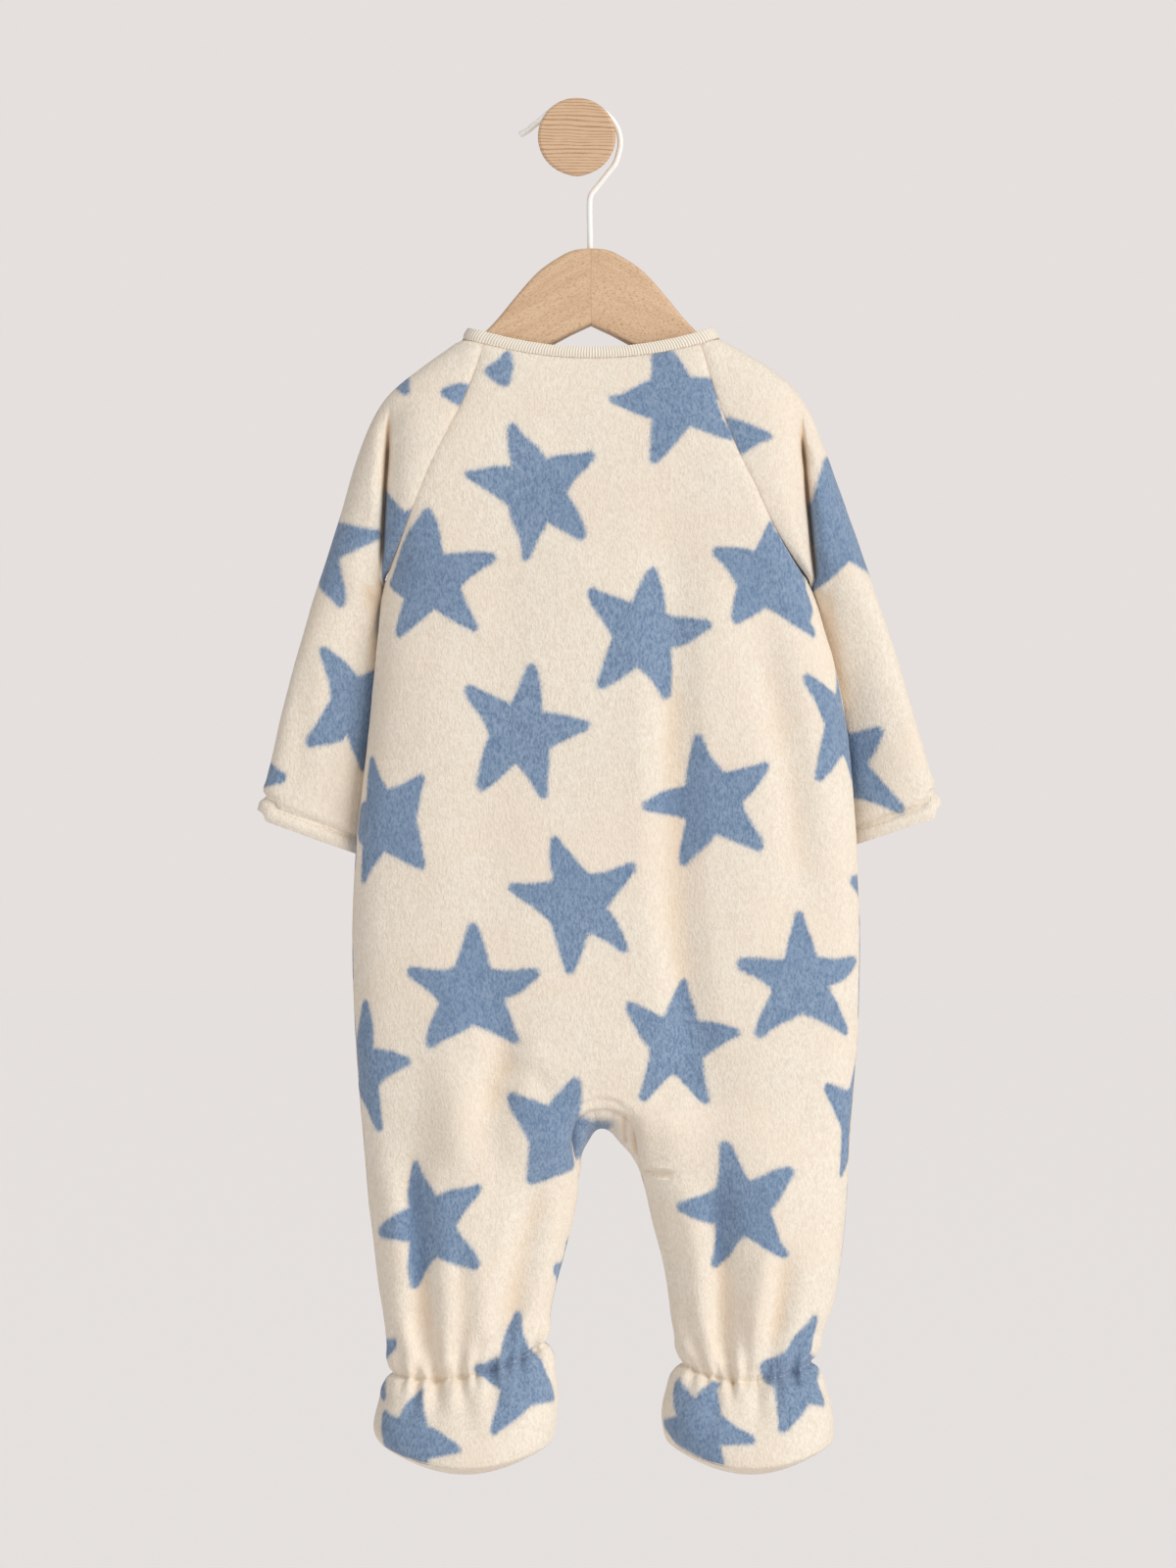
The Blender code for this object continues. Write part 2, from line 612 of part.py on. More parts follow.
def add_sole(surface, side, above, names):
    """The sole seam, the sole's rings and its middle."""
    foot = FEET[side]
    def ring(scale):
        line = []
        for i in range(2 * ANKLE_COLUMNS):
            angle = math.pi * i / ANKLE_COLUMNS
            power = 2 / FOOT_ROUND
            u = -math.copysign(abs(math.cos(angle)) ** power, math.cos(angle)) * scale
            v = -math.copysign(abs(math.sin(angle)) ** power, math.sin(angle)) * scale
            line.append((foot.middle_x + u * foot.half_width,
                         foot.middle_y + v * foot.half_length, sole_drop(u, v)))
        return line
    seam = surface.points(ring(1.0))
    surface.band(above, seam, names)
    previous = seam
    sole = ["sole_" + side] * (2 * ANKLE_COLUMNS)
    for scale in SOLE_RINGS:
        placed = surface.points(ring(scale))
        surface.band(previous, placed, sole)
        previous = placed
    pole = surface.points([(foot.middle_x, foot.middle_y, sole_drop(0, 0))])[0]
    for i, name in enumerate(sole):
        surface.face([previous[i], pole, previous[(i + 1) % len(previous)]], name)


def add_leg(surface, side, back, front):
    """One leg and its bootie, below the trunk's last lines; returns its crotch edges."""
    front_name = "front_" + side
    seam_back = []
    seam_front = []
    previous_back = back
    previous_front = front
    for row in LEGS[:JOINED_LEG_ROWS]:
        back_line, front_line = leg_lines(row, side, LEG_COLUMNS)
        if side == "left":
            placed_back = surface.points(back_line)
            placed_front = surface.points(front_line[:-1]) + [placed_back[0]]
        else:
            placed_back = surface.points(back_line)
            placed_front = [placed_back[-1]] + surface.points(front_line[1:])
        surface.band(previous_back, placed_back, ["back"] * LEG_COLUMNS)
        surface.band(previous_front, placed_front, [front_name] * LEG_COLUMNS)
        seam_back.append(placed_back[-1] if side == "left" else placed_back[0])
        seam_front.append(placed_front[0] if side == "left" else placed_front[-1])
        previous_back = placed_back
        previous_front = placed_front
    row = LEGS[JOINED_LEG_ROWS]
    back_line, front_line = leg_lines(row, side, LEG_COLUMNS)
    ring = surface.points(back_line[:-1] + front_line[:-1])
    closed = ring + [ring[0]]
    surface.band(previous_back, closed[:LEG_COLUMNS + 1], ["back"] * LEG_COLUMNS)
    surface.band(previous_front, closed[LEG_COLUMNS:], [front_name] * LEG_COLUMNS)
    end = ring[LEG_COLUMNS] if side == "left" else ring[0]
    previous = ring
    for number in range(JOINED_LEG_ROWS + 1, len(LEGS)):
        row = LEGS[number]
        columns = LEG_COLUMNS if number < FIRST_FINE_ROW else ANKLE_COLUMNS
        upper_name = front_name if number <= ANKLE_ROW else "foot_upper_" + side
        names = ["back"] * columns + [upper_name] * columns
        back_line, front_line = leg_lines(row, side, columns)
        placed = surface.points(back_line[:-1] + front_line[:-1])
        if number == FIRST_FINE_ROW:
            names = ["back"] * LEG_COLUMNS + [front_name] * LEG_COLUMNS
            surface.fine_band(previous, placed, names)
        else:
            surface.band(previous, placed, names)
        previous = placed
    names = ["back"] * ANKLE_COLUMNS + ["foot_upper_" + side] * ANKLE_COLUMNS
    add_sole(surface, side, previous, names)
    return seam_back, seam_front, end


def add_gusset(surface, back_row, front_row, left_end, right_end):
    lowest = surface.points([(p.x, MID_Y, p.drop) for p in GUSSET])
    back_row = [left_end] + back_row + [right_end]
    front_row = [left_end] + front_row + [right_end]
    lowest = [left_end] + lowest + [right_end]
    name = "crotch_gusset"
    count = len(lowest)
    for i in range(count - 1):
        for near, far in ((back_row, lowest), (lowest, front_row)):
            corners = [near[i], far[i], far[i + 1], near[i + 1]]
            kept = []
            for corner in corners:
                if corner not in kept:
                    kept.append(corner)
            surface.face(kept, name)


def suit_surface():
    surface = Surface()
    back, front, right, left, centre = add_yoke(surface)
    add_sleeve(surface, "right", right)
    add_sleeve(surface, "left", left)
    back, front = add_trunk(surface, back, front, centre)
    half = BACK_COLUMNS // 2
    left_back, left_front, left_end = add_leg(surface, "left", back[:half + 1], front[half:])
    right_back, right_front, right_end = add_leg(surface, "right", back[half:],
                                                 front[:half + 1])
    back_row = left_back[::-1] + [back[half]] + right_back
    front_row = left_front[::-1] + [front[half]] + right_front
    add_gusset(surface, back_row, front_row, left_end, right_end)
    surface.finish()
    centre = [(vertex.co.copy(), surface.normals[vertex.index]) for vertex in centre]
    return surface, centre


# ---- the tailor's pieces ----

def edge_shifts(faces, margin):
    """How far each boundary vertex of a patch is drawn in along the cloth."""
    chosen = set(faces)
    pulls = {}
    for face in faces:
        middle = face.calc_center_median()
        for edge in face.edges:
            if sum(1 for other in edge.link_faces if other in chosen) == 2:
                continue
            a, b = edge.verts
            inward = face.normal.cross(b.co - a.co).normalized()
            if inward.dot(middle - a.co) < 0:
                inward = -inward
            pulls.setdefault(a, []).append(inward)
            pulls.setdefault(b, []).append(inward)
    shifts = {}
    for vertex, found in pulls.items():
        total = sum(found, Vector())
        if len(found) == 2:
            total = total / max(CORNER_LIMIT, 1 + found[0].dot(found[1]))
        shifts[vertex] = total * margin * MM
    return shifts


def slants_down(surface, a, b):
    """True where the edge face between a and b is split from a's inner to b's outer point."""
    inner_a = a.co - surface.normals[a.index] * a[surface.wall] * MM
    inner_b = b.co - surface.normals[b.index] * b[surface.wall] * MM
    return (inner_a - b.co).length < (inner_b - a.co).length


def piece_solid(surface, faces, margin, lift=None, thick=None):
    """A patch of the surface as a closed wall; with a lift it lies on the surface."""
    shifts = edge_shifts(faces, margin)
    solid = bmesh.new()
    outer = {}
    inner = {}
    still = Vector()
    for face in faces:
        for vertex in face.verts:
            if vertex in outer:
                continue
            normal = surface.normal(vertex, faces)
            seat = vertex.co + shifts.get(vertex, still)
            top = 0.0 if lift is None else (lift + thick) * MM
            base = -vertex[surface.wall] * MM if lift is None else lift * MM
            outer[vertex] = solid.verts.new(seat + normal * top)
            inner[vertex] = solid.verts.new(seat + normal * base)
    chosen = set(faces)
    for face in faces:
        solid.faces.new([outer[v] for v in face.verts])
        solid.faces.new([inner[v] for v in reversed(face.verts)])
        for loop in face.loops:
            edge = loop.edge
            if sum(1 for other in edge.link_faces if other in chosen) == 2:
                continue
            a = loop.vert
            b = loop.link_loop_next.vert
            if slants_down(surface, a, b):
                solid.faces.new([inner[a], inner[b], outer[b]])
                solid.faces.new([inner[a], outer[b], outer[a]])
            else:
                solid.faces.new([inner[a], inner[b], outer[a]])
                solid.faces.new([inner[b], outer[b], outer[a]])
    return solid


def make_cloth(surface):
    for index, name in enumerate(surface.names):
        faces = [f for f in surface.mesh.faces if f[surface.piece] == index]
        solid = piece_solid(surface, faces, SEAM_GAP / 2)
        finished(name, solid, RIB if name == "neckband" else FLEECE)
    strip = [f for f in surface.mesh.faces if f[surface.strip]]
    placket = piece_solid(surface, strip, PLACKET_INSET, PLACKET_LIFT, CLOTH)
    finished("placket", placket, FLEECE)


def make_poppers(centre):
    lift = PLACKET_LIFT + CLOTH + POPPER_LIFT + POPPER_THICK / 2
    for number, row in enumerate(POPPER_ROWS):
        point, normal = centre[row]
        cap = bmesh.new()
        bmesh.ops.create_cone(cap, cap_ends=True, segments=POPPER_SIDES,
                              radius1=POPPER_RADIUS * MM, radius2=POPPER_RADIUS * MM,
                              depth=POPPER_THICK * MM)
        rim = [e for e in cap.edges if all(v.co.z > 0 for v in e.verts)]
        bmesh.ops.bevel(cap, geom=rim, offset=POPPER_EDGE * MM, segments=1, profile=0.5,
                        affect="EDGES")
        turn = Vector((0, 0, 1)).rotation_difference(normal).to_matrix().to_4x4()
        seat = Matrix.Translation(point + normal * lift * MM)
        bmesh.ops.transform(cap, matrix=seat @ turn, verts=cap.verts[:])
        finished("popper_%d" % (number + 1), cap, WHITE_PLASTIC)


# ---- hanger, hook and peg ----

def hanger_outline():
    """The hanger's edge as (x, drop), clockwise from the crown as seen from the room."""
    right = [(p.x, p.drop) for p in HANGER_TOP + HANGER_UNDER]
    left = [(-x, drop) for x, drop in reversed(right[1:])]
    return right + [(0.0, HANGER_NOTCH_DROP)] + left


def make_hanger():
    body = bmesh.new()
    room_side = (HANGER_Y - HANGER_THICK / 2) * MM
    corners = [body.verts.new(((x + HANGER_X) * MM, room_side, -drop * MM))
               for x, drop in reversed(hanger_outline())]
    face = body.faces.new(corners)
    grown = bmesh.ops.extrude_face_region(body, geom=[face])
    moved = [item for item in grown["geom"] if isinstance(item, bmesh.types.BMVert)]
    bmesh.ops.translate(body, verts=moved, vec=(0, HANGER_THICK * MM, 0))
    bmesh.ops.recalc_face_normals(body, faces=body.faces[:])
    rims = [e for e in body.edges if abs(e.verts[0].co.y - e.verts[1].co.y) < 1e-6]
    bmesh.ops.bevel(body, geom=rims, offset=HANGER_EDGE * MM, segments=2, profile=0.5,
                    affect="EDGES")
    hanger = finished("hanger", body, BEECH, SHARP_EDGE)
    cutter_mesh = bmesh.new()
    bmesh.ops.create_cone(cutter_mesh, cap_ends=True, segments=HOLE_SIDES, radius1=HOLE_RADIUS * MM,
                          radius2=HOLE_RADIUS * MM, depth=2 * HOLE_DEPTH * MM)
    crown = HANGER_TOP[0].drop
    bmesh.ops.translate(cutter_mesh, verts=cutter_mesh.verts[:],
                        vec=(HANGER_X * MM, HANGER_Y * MM, -crown * MM))
    cutter = finished("hook_hole_cutter", cutter_mesh, BEECH)
    cutter.hide_render = True
    cutter.display_type = "WIRE"
    hole = hanger.modifiers.new("hook_hole", "BOOLEAN")
    hole.operation = "DIFFERENCE"
    hole.object = cutter


def smooth_route(points, count):
    """count points at even lengths along a smooth curve through the given ones."""
    padded = [points[0]] + points + [points[-1]]
    spans = len(points) - 1
    def curve(t):
        span = min(spans - 1, int(t * spans))
        u = t * spans - span
        p0, p1, p2, p3 = padded[span:span + 4]
        made = []
        for a, b, c, d in zip(p0, p1, p2, p3):
            made.append(0.5 * (2 * b + (c - a) * u + (2 * a - 5 * b + 4 * c - d) * u * u
                               + (3 * b - a - 3 * c + d) * u * u * u))
        return tuple(made)
    return even_line(curve, count - 1, samples=WIRE_SAMPLES)


def hook_route():
    """The wire's centre line: tip, round top over the peg, neck and stem."""
    peg_here = mix(PEG_BACK_RADIUS, PEG_RADIUS, -WIRE_Y / PEG_LENGTH)
    rise = peg_here + WIRE_GAP + WIRE_RADIUS + WIRE_ARC_DROP
    arc = []
    for i in range(WIRE_ARC_STEPS + 1):
        angle = math.radians(mix(WIRE_ARC_START, WIRE_ARC_END, i / WIRE_ARC_STEPS))
        arc.append((WIRE_ARC_HALF_WIDTH * math.cos(angle),
                    WIRE_ARC_DROP - rise * math.sin(angle)))
    stem_end = HANGER_TOP[0].drop + HOLE_DEPTH - HOLE_FLOOR_GAP
    route = [(p.x, p.drop) for p in WIRE_TIP] + arc + [(p.x, p.drop) for p in WIRE_NECK]
    return smooth_route(route + [(HANGER_X, stem_end)], WIRE_POINTS)


def make_hook():
    route = hook_route()
    curve = bpy.data.curves.new("hook", "CURVE")
    curve.dimensions = "3D"
    curve.bevel_depth = WIRE_RADIUS * MM
    curve.bevel_resolution = 3
    curve.use_fill_caps = True
    line = curve.splines.new("POLY")
    line.points.add(len(route) - 1)
    for point, (x, drop) in zip(line.points, route):
        point.co = (x * MM, WIRE_Y * MM, -drop * MM, 1.0)
    curve.materials.append(material(WHITE_METAL))
    hook = bpy.data.objects.new("hook", curve)
    bpy.context.scene.collection.objects.link(hook)


def make_peg():
    body = bmesh.new()
    bmesh.ops.create_cone(body, cap_ends=True, segments=PEG_SIDES, radius1=PEG_BACK_RADIUS * MM,
                          radius2=PEG_RADIUS * MM, depth=PEG_LENGTH * MM)
    rim = [e for e in body.edges if all(v.co.z > 0 for v in e.verts)]
    bmesh.ops.bevel(body, geom=rim, offset=PEG_EDGE * MM, segments=2, profile=0.5,
                    affect="EDGES")
    turn = Matrix.Rotation(math.pi / 2, 4, "X")
    seat = Matrix.Translation((0, -PEG_LENGTH / 2 * MM, 0))
    bmesh.ops.transform(body, matrix=seat @ turn, verts=body.verts[:])
    finished("peg", body, PALE_OAK, SHARP_EDGE)


def main():
    clear_scene()
    surface, centre = suit_surface()
    make_cloth(surface)
    make_poppers(centre)
    surface.mesh.free()
    make_hanger()
    make_hook()
    make_peg()


main()
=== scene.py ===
import math
import bpy
import bmesh
import numpy as np
from mathutils import Matrix, Vector
from mathutils.bvhtree import BVHTree
from mathutils.kdtree import KDTree


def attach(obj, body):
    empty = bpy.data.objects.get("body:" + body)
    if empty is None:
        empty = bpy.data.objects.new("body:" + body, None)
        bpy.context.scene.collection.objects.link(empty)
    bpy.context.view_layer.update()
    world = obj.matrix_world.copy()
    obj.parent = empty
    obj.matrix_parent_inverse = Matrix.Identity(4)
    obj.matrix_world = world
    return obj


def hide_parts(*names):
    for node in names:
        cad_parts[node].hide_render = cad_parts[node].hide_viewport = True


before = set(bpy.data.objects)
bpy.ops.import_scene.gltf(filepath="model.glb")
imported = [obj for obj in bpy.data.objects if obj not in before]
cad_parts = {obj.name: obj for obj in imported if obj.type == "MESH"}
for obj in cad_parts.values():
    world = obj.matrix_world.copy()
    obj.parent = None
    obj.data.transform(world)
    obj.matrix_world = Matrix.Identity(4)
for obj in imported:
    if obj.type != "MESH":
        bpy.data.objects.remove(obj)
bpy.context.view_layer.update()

# The suit hangs with its back to the room. Cloth is laid out in millimetres: x runs to the right
# from the suit's middle line, drop runs down from the peg, and y runs from the room to the wall.
MM = 0.001
SUIT_X = 6.2
HANGER_X = 7.2


def place(x, y, drop):
    return Vector(((x + SUIT_X) * MM, y * MM, -drop * MM))


def tailor(points):
    """Points in metres as rows of x, y, drop in millimetres."""
    flat = np.asarray(points, dtype=float) / MM
    return np.stack((flat[:, 0] - SUIT_X, flat[:, 1], -flat[:, 2]), axis=1)


# ---- camera

camera = bpy.data.objects.new("camera", bpy.data.cameras.new("camera"))
bpy.context.scene.collection.objects.link(camera)
camera.location = (0.0057, -2.5, -0.3278)
camera.rotation_euler = (math.pi / 2, 0, 0)
camera.data.lens = 110.79
camera.data.sensor_width = 36
camera.data.clip_end = 60
bpy.context.scene.camera = camera


# ---- shader building

def operator(operation, reflected=False):
    """A Python operator that adds a Math node."""
    def apply(self, other):
        return self.math(operation, *((other, self) if reflected else (self, other)))
    return apply


class Value:
    """A node's output that does its maths through Math nodes."""

    __add__ = operator("ADD")
    __radd__ = operator("ADD", reflected=True)
    __sub__ = operator("SUBTRACT")
    __rsub__ = operator("SUBTRACT", reflected=True)
    __mul__ = operator("MULTIPLY")
    __rmul__ = operator("MULTIPLY", reflected=True)
    __pow__ = operator("POWER")
    __rpow__ = operator("POWER", reflected=True)

    def __init__(self, shader, socket):
        self.shader = shader
        self.socket = socket

    def math(self, operation, *values):
        return self.shader.node("ShaderNodeMath", {"operation": operation},
                                dict(enumerate(values)))

    def __abs__(self):
        return self.math("ABSOLUTE", self)

    def sine(self):
        return self.math("SINE", self)

    def step(self, low, high):
        """0 at low and 1 at high, with soft ends."""
        return self.shader.node("ShaderNodeMapRange", {"interpolation_type": "SMOOTHSTEP"},
                                {0: self, 1: low, 2: high, 3: 0.0, 4: 1.0})


class Finish:
    """A material with its Principled shader and short ways to add nodes."""

    def __init__(self, name, **constants):
        self.material = bpy.data.materials.new(name)
        self.material.use_nodes = True
        self.nodes = self.material.node_tree.nodes
        self.links = self.material.node_tree.links
        self.shader = self.nodes["Principled BSDF"]
        self.set(**constants)

    def node(self, kind, settings=None, inputs=None, output=0):
        made = self.nodes.new(kind)
        for key, value in (settings or {}).items():
            setattr(made, key, value)
        for key, value in (inputs or {}).items():
            self.feed(made.inputs[key], value)
        return Value(self, made.outputs[output])

    def feed(self, socket, value):
        if isinstance(value, Value):
            self.links.new(value.socket, socket)
        else:
            socket.default_value = value

    def set(self, **values):
        for key, value in values.items():
            self.feed(self.shader.inputs[key.replace("_", " ")], value)

    def mix(self, factor, a, b):
        """From colour a at 0 to colour b at 1."""
        return self.node("ShaderNodeMix", {"data_type": "RGBA"}, {0: factor, 6: a, 7: b}, 2)

    def place(self, scale=(1, 1, 1), turn=(0, 0, 0)):
        where = self.node("ShaderNodeTexCoord", output="Object")
        return self.node("ShaderNodeMapping", None,
                         {"Vector": where, "Scale": scale, "Rotation": turn})

    def noise(self, where, scale, detail=2.0, rough=0.5, distortion=0.0):
        return self.node("ShaderNodeTexNoise", None,
                         {"Vector": where, "Scale": scale, "Detail": detail, "Roughness": rough,
                          "Distortion": distortion})

    def attribute(self, name):
        return self.node("ShaderNodeAttribute", {"attribute_name": name}, output="Fac")

    def bump(self, height, distance, strength=1.0):
        return self.node("ShaderNodeBump", None,
                         {"Height": height, "Distance": distance, "Strength": strength})

    def axes(self):
        """The point's x, y and z in metres."""
        where = self.node("ShaderNodeTexCoord", output="Object")
        split = self.node("ShaderNodeSeparateXYZ", None, {0: where}).socket.node
        return [Value(self, output) for output in split.outputs]


def srgb(r, g, b):
    """A colour from its display values, 0 to 255."""
    made = []
    for value in (r, g, b):
        value /= 255
        made.append(value / 12.92 if value <= 0.04045 else ((value + 0.055) / 1.055) ** 2.4)
    return (*made, 1.0)


# ---- curves and distances

def smoothstep(value, low, high):
    t = np.clip((value - low) / (high - low), 0, 1)
    return t * t * (3 - 2 * t)


def bell(value, width):
    """1 where the value is 0, falling away softly to both sides."""
    return np.exp(-(value / width) ** 2)


def away_from(p, x, drop):
    """How far each point lies from a spot, seen from the room."""
    return np.hypot(p[:, 0] - x, p[:, 2] - drop)


def off_line(flat, a, b):
    """Each point's distance from the line from a to b, and its share of the way along it."""
    run = b - a
    share = np.clip(((flat - a) @ run) / (run @ run), 0, 1)
    return np.hypot(*(flat - a - share[:, None] * run).T), share


# ---- stars of the print

STAR_TIP = 2.6
STAR_WAIST = 0.36
# Far from every star the print's distance stays at this.
STAR_FAR = 12.0
# Stars are looked for this much further than they reach.
STAR_MARGIN = 14
# Where the five tips of the print's four stars point, in degrees clockwise from upright.
STAR_KINDS = {
    "a": (10.5, 82.5, 157.5, 217.5, 310.5),
    "b": (-19.5, 58.5, 133.5, 187.5, 283.5),
    "c": (2, 73.5, 136.5, 219, 287),
    "d": (-13.5, 55.5, 134, 204, 268),
    # Stars that a seam, a fold or the gathers cut or pull: the share of the reach that a tip
    # has where it isn't 1, and the share of the waist after it where it isn't the usual one.
    "e": (21.5, 80, (140, 0.78, 0.6), (207, 0.9), 311),
    "f": (18, 160, 284),
    "g": (-6, 77, 122, 203, 269),
    "h": (95, 200, 250, 290, 340),
    "i": (22, (78, 0.75), (138, 0.7), (201, 0.95), (283, 0.65)),
    "j": (1, (42, 0.55, 0.43), (120, 0.76), (209, 1.0), (278, 0.75)),
    "k": (-38, (15, 0.87), 100, (152, 0.8), (270, 0.9)),
    "l": ((15, 0.9), 96, (158, 0.96), (230, 0.9), (310, 0.8)),
    "m": ((2, 0.85), (75, 1.1), (134, 1.17), (222, 0.86), (296, 0.95)),
    "n": (74, (130, 0.63), (200, 0.8), (270, 0.9), (330, 0.8)),
    "p": (-15.5, (50, 1.06, 0.6), (131, 1.1), 202, 266),
    "q": (2, (76, 1.17), (130, 1.19), 221, (286, 0.97)),
    "r": (-32.5, (27.5, 0.6), 99.5, 166, 234.5),
    "s": (-21.5, (47, 0.83), (126, 1.2), 196, 260),
    "t": ((-11, 1, 0.48), 55.5, 134, 204, (268, 1, 0.52)),
    "u": (0, 71.5, 134.5, (217, 1, 0.44), (268, 0.85, 0.62)),
    # A round patch of dye.
    "o": ((0, 1, 0.85), (72, 1, 0.85), (144, 1, 0.85), (216, 1, 0.85), (288, 1, 0.85)),
}

# x, drop, kind, turn, reach
STARS_BACK = (
    (-27.2, 178.8, "b", 0, 36), (-82, 224, "u", 0, 36), (45.3, 133, "g", 0, 35),
    (59.5, 139, "o", 0, 8.5), (92.5, 223.5, "m", 0, 35), (107, 224, "o", 0, 15),
    (27.0, 252.1, "a", 0, 35.5), (-34.9, 302.3, "a", 0, 35.5), (62.1, 337.3, "d", 0, 35),
    (-112, 346.5, "p", 0, 34), (-6.0, 388.1, "b", 0, 35.5), (-59.6, 433.5, "c", 0, 35.5),
    (108.5, 428.1, "q", 0, 35.5), (45, 459.5, "a", -4, 33), (-127, 472.5, "a", 0, 35),
    (-17, 505, "e", 0, 31.5), (-82, 551.5, "d", -4, 34), (75.5, 542, "d", 1, 34.5),
    (-47.5, 117.5, "f", -8, 9), (141, 297, "a", 0, 36), (153, 498, "a", -10, 34),
    (176, 384, "b", 0, 34), (-32.5, 628, "j", 0, 32), (114, 236, "o", 0, 10),
    (-92, 660, "l", 0, 28), (-131, 620, "c", 0, 28), (107.5, 627, "i", 0, 32),
    (56, 653, "k", 0, 27.5), (100, 208, "o", 0, 9), (-122, 348, "o", 0, 12),
)
STARS_LEFT_LEG = ((9, 578, "b", 0, 20),)
STARS = {
    "back": STARS_BACK,
    "crotch_gusset": ((-14, 507, "n", 0, 27.5), (34, 566, "a", 0, 24)),
    "sleeve_left": ((-140, 205, "a", 0, 35), (-117, 288, "r", 0, 35), (-191, 321, "h", 0, 33),
                    (-103, 107, "a", 0, 25)),
    "sleeve_right": ((129, 198, "t", 0, 37), (130.5, 318, "s", 0, 33)),
}
# Stars on the strip of each sleeve between its raglan seam and the fold under the arm.
STARS_STRIP = {
    "sleeve_left": ((-96, 204, "c", -27, 33), (-42, 136, "c", -4, 34), (-103, 107, "a", 0, 25)),
    "sleeve_right": ((58, 153, "h", -7, 34),),
}


def star_outline(kind, turn, reach):
    """Corners of a drawn star, tip and waist by turns, before its tips are rounded."""
    tips = [(*tip, STAR_WAIST)[:3] if isinstance(tip, tuple) else (tip, 1.0, STAR_WAIST)
            for tip in STAR_KINDS[kind]]
    tips.append((tips[0][0] + 360, 1.0, STAR_WAIST))
    corners = []
    for (tip, share, waist), (following, _, _) in zip(tips, tips[1:]):
        for angle, far in ((tip, reach * share - STAR_TIP),
                           ((tip + following) / 2, reach * waist)):
            angle = math.radians(angle + turn)
            corners.append((far * math.sin(angle), -far * math.cos(angle)))
    return np.array(corners)


def star_field(u, v, stars):
    """Signed distance to the nearest star's edge in millimetres, under 0 inside it."""
    wave_u = u + 0.7 * np.sin(v / 6.1 + u / 9.0) + 0.3 * np.sin(u / 3.7 + v / 5.2)
    wave_v = v + 0.7 * np.sin(u / 5.6 - v / 11.0) + 0.3 * np.sin(v / 3.9 - u / 4.7)
    field = np.full(len(u), STAR_FAR)
    for x, drop, kind, turn, reach in stars:
        margin = reach + STAR_MARGIN
        near = np.flatnonzero((abs(u - x) < margin) & (abs(v - drop) < margin))
        if not len(near):
            continue
        p = np.stack((wave_u[near] - x, wave_v[near] - drop), axis=1)
        corners = star_outline(kind, turn, reach)
        best = np.full(len(near), np.inf)
        inside = np.zeros(len(near), dtype=bool)
        for a, b in zip(corners, np.roll(corners, -1, axis=0)):
            best = np.minimum(best, off_line(p, a, b)[0])
            crosses = (a[1] > p[:, 1]) != (b[1] > p[:, 1])
            run = b - a
            rise = run[1] if abs(run[1]) > 1e-9 else 1e-9
            inside ^= crosses & (p[:, 0] < a[0] + (p[:, 1] - a[1]) * run[0] / rise)
        field[near] = np.minimum(field[near], np.where(inside, -best, best) - STAR_TIP)
    return field


# ---- cloth

# Middle lines of the tubes that each piece wraps, to tell its outer skin from its inner one.
TRUNK = ((8, -37, 100), (9, -37, 490))
LEG_LEFT = ((-60, -37, 495), (-63, -38, 665))
LEG_RIGHT = ((80, -37, 495), (82, -38, 665))
ARM_LEFT = ((-60, -38, 112), (-112, -34, 215), (-143, -24, 352))
ARM_RIGHT = ((62, -38, 112), (122, -34, 215), (157, -24, 350))
GUSSET = ((6, -37, 480), (6, -37, 481))
SPINES = {
    "back": (TRUNK, LEG_LEFT, LEG_RIGHT),
    "front_left": (TRUNK, LEG_LEFT),
    "front_right": (TRUNK, LEG_RIGHT),
    "sleeve_left": (ARM_LEFT,),
    "sleeve_right": (ARM_RIGHT,),
    "neckband": (TRUNK,),
    "placket": (TRUNK,),
    "crotch_gusset": (GUSSET,),
    "foot_upper_left": (LEG_LEFT,),
    "foot_upper_right": (LEG_RIGHT,),
    "sole_left": (LEG_LEFT,),
    "sole_right": (LEG_RIGHT,),
}
# Faces that meet at less than this angle, in radians, are on one side of the wall.
SAME_SIDE = 0.55


def merged_copy(name):
    body = bmesh.new()
    body.from_mesh(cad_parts[name].data)
    bmesh.ops.remove_doubles(body, verts=body.verts[:], dist=1e-6)
    return body


def nearest_on(spines, point):
    best = None
    for spine in spines:
        joints = [place(*joint) for joint in spine]
        for a, b in zip(joints, joints[1:]):
            run = b - a
            t = max(0.0, min(1.0, (point - a).dot(run) / run.length_squared))
            spot = a + run * t
            if best is None or (point - spot).length < (point - best).length:
                best = spot
    return best


